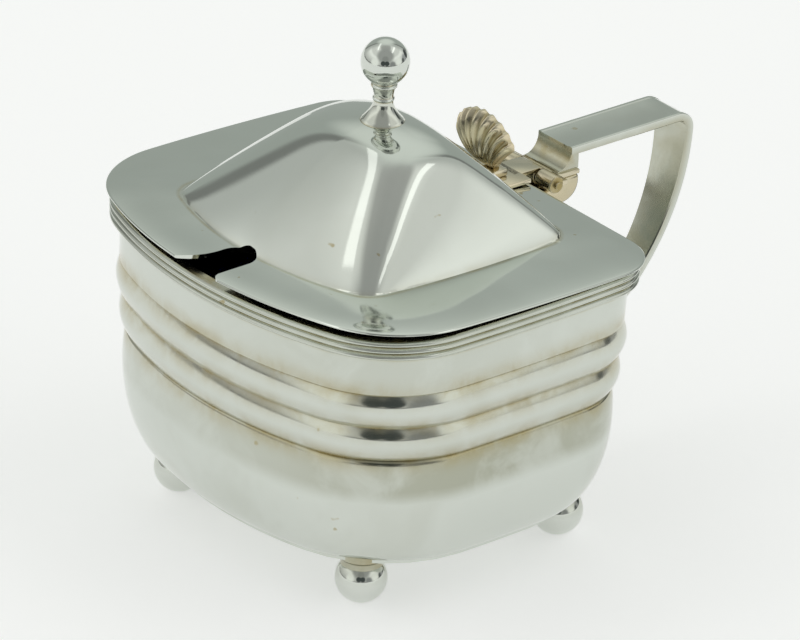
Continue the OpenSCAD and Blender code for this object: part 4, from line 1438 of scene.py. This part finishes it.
def studio_world():
    """A white room, dim near the floor, with its cards."""
    world = bpy.data.worlds.new("Studio")
    bpy.context.scene.world = world
    world.use_nodes = True
    tree = world.node_tree
    background = tree.nodes["Background"]
    way = tree.nodes.new("ShaderNodeTexCoord").outputs["Generated"]

    def towards(azimuth, elevation, outer, inner):
        made = tree.nodes.new("ShaderNodeVectorMath")
        made.operation = "DOT_PRODUCT"
        tree.links.new(way, made.inputs[0])
        made.inputs[1].default_value = direction(azimuth, elevation)
        low, high = (math.cos(math.radians(v)) for v in (outer, inner))
        return fit_range(tree, made.outputs["Value"], low, high)

    split = tree.nodes.new("ShaderNodeSeparateXYZ")
    tree.links.new(way, split.inputs[0])
    ramp = tree.nodes.new("ShaderNodeValToRGB")
    height = math_node(tree, "MULTIPLY_ADD", split.outputs["Z"], 0.5)
    height.node.inputs[2].default_value = 0.5
    tree.links.new(height, ramp.inputs["Fac"])
    while len(ramp.color_ramp.elements) < len(ROOM_LEVELS):
        ramp.color_ramp.elements.new(0.5)
    for element, (place, brightness) in zip(ramp.color_ramp.elements, ROOM_LEVELS):
        element.position = place
        element.color = (*(brightness * tint for tint in ROOM_TINT), 1)
    room = ramp.outputs["Color"]
    for azimuth, elevation, outer, inner, tint in CARDS:
        room = mix_colour(tree, towards(azimuth, elevation, outer, inner), room, (*tint, 1))
    tree.links.new(room, background.inputs["Color"])
    background.inputs["Strength"].default_value = 1.0


# White added to the floor where it is seen, so that it reads as white paper
FLOOR_GLOW = 0.36


class POT_OT_stage(bpy.types.Operator):
    """Sets the floor, the light and the camera"""

    bl_idname = "pot.stage"
    bl_label = "Stage"

    def execute(self, context):
        floor = begin("floor", bpy.ops.mesh.primitive_circle_add, vertices=96, radius=3, fill_type="NGON")
        bpy.ops.transform.translate(value=(0, 0, CAD_BOX[0][2]))
        bpy.ops.object.mode_set(mode="OBJECT")
        made = bpy.data.materials.new("Pale floor")
        made.use_nodes = True
        tree = made.node_tree
        shader = tree.nodes["Principled BSDF"]
        shader.inputs["Base Color"].default_value = solid(context.scene.pot_finish.floor)
        shader.inputs["Roughness"].default_value = 0.9
        shader.inputs["Specular IOR Level"].default_value = 0.1
        ray = tree.nodes.new("ShaderNodeLightPath").outputs
        seen = math_node(tree, "MAXIMUM", ray["Is Camera Ray"], ray["Is Glossy Ray"])
        seen = math_node(tree, "MAXIMUM", seen, ray["Is Transmission Ray"])
        shader.inputs["Emission Color"].default_value = (1, 1, 1, 1)
        tree.links.new(math_node(tree, "MULTIPLY", seen, FLOOR_GLOW), shader.inputs["Emission Strength"])
        floor.data.materials.append(made)
        studio_world()
        soft_lamps()
        place_camera()
        context.scene.view_settings.view_transform = "Standard"
        return {"FINISHED"}


# Panel and registration


GROUPS = {
    "pot_body": PotBodySizes, "pot_lid": PotLidSizes, "pot_handle": PotHandleSizes, "pot_finish": PotFinish,
}
PIECES = (
    POT_OT_finishes, POT_OT_body, POT_OT_rim, POT_OT_feet, POT_OT_lid, POT_OT_finial, POT_OT_thumbpiece,
    POT_OT_hinge, POT_OT_handle, POT_OT_liner, POT_OT_plain_nodes, POT_OT_stage,
)


class POT_PT_panel(bpy.types.Panel):
    """Lists the pot's pieces and its sizes"""

    bl_label = "Mustard Pot"
    bl_idname = "POT_PT_panel"
    bl_space_type = "VIEW_3D"
    bl_region_type = "UI"
    bl_category = "Mustard Pot"

    def draw(self, context):
        for piece in PIECES:
            self.layout.operator(piece.bl_idname)
        for group_name in GROUPS:
            group = getattr(context.scene, group_name)
            box = self.layout.box()
            for name in group.__annotations__:
                box.prop(group, name)


def register():
    """Registers the sizes, the operators and the panel."""
    for name, group in GROUPS.items():
        bpy.utils.register_class(group)
        setattr(bpy.types.Scene, name, bpy.props.PointerProperty(type=group))
    for cls in (*PIECES, POT_PT_panel):
        bpy.utils.register_class(cls)


def unregister():
    """Takes away what register added."""
    for cls in reversed((*PIECES, POT_PT_panel)):
        bpy.utils.unregister_class(cls)
    for name, group in reversed(GROUPS.items()):
        delattr(bpy.types.Scene, name)
        bpy.utils.unregister_class(group)


def main():
    """Makes every piece in order."""
    register()
    for piece in PIECES:
        group, name = piece.bl_idname.split(".")
        getattr(getattr(bpy.ops, group), name)()


if __name__ == "__main__":
    main()
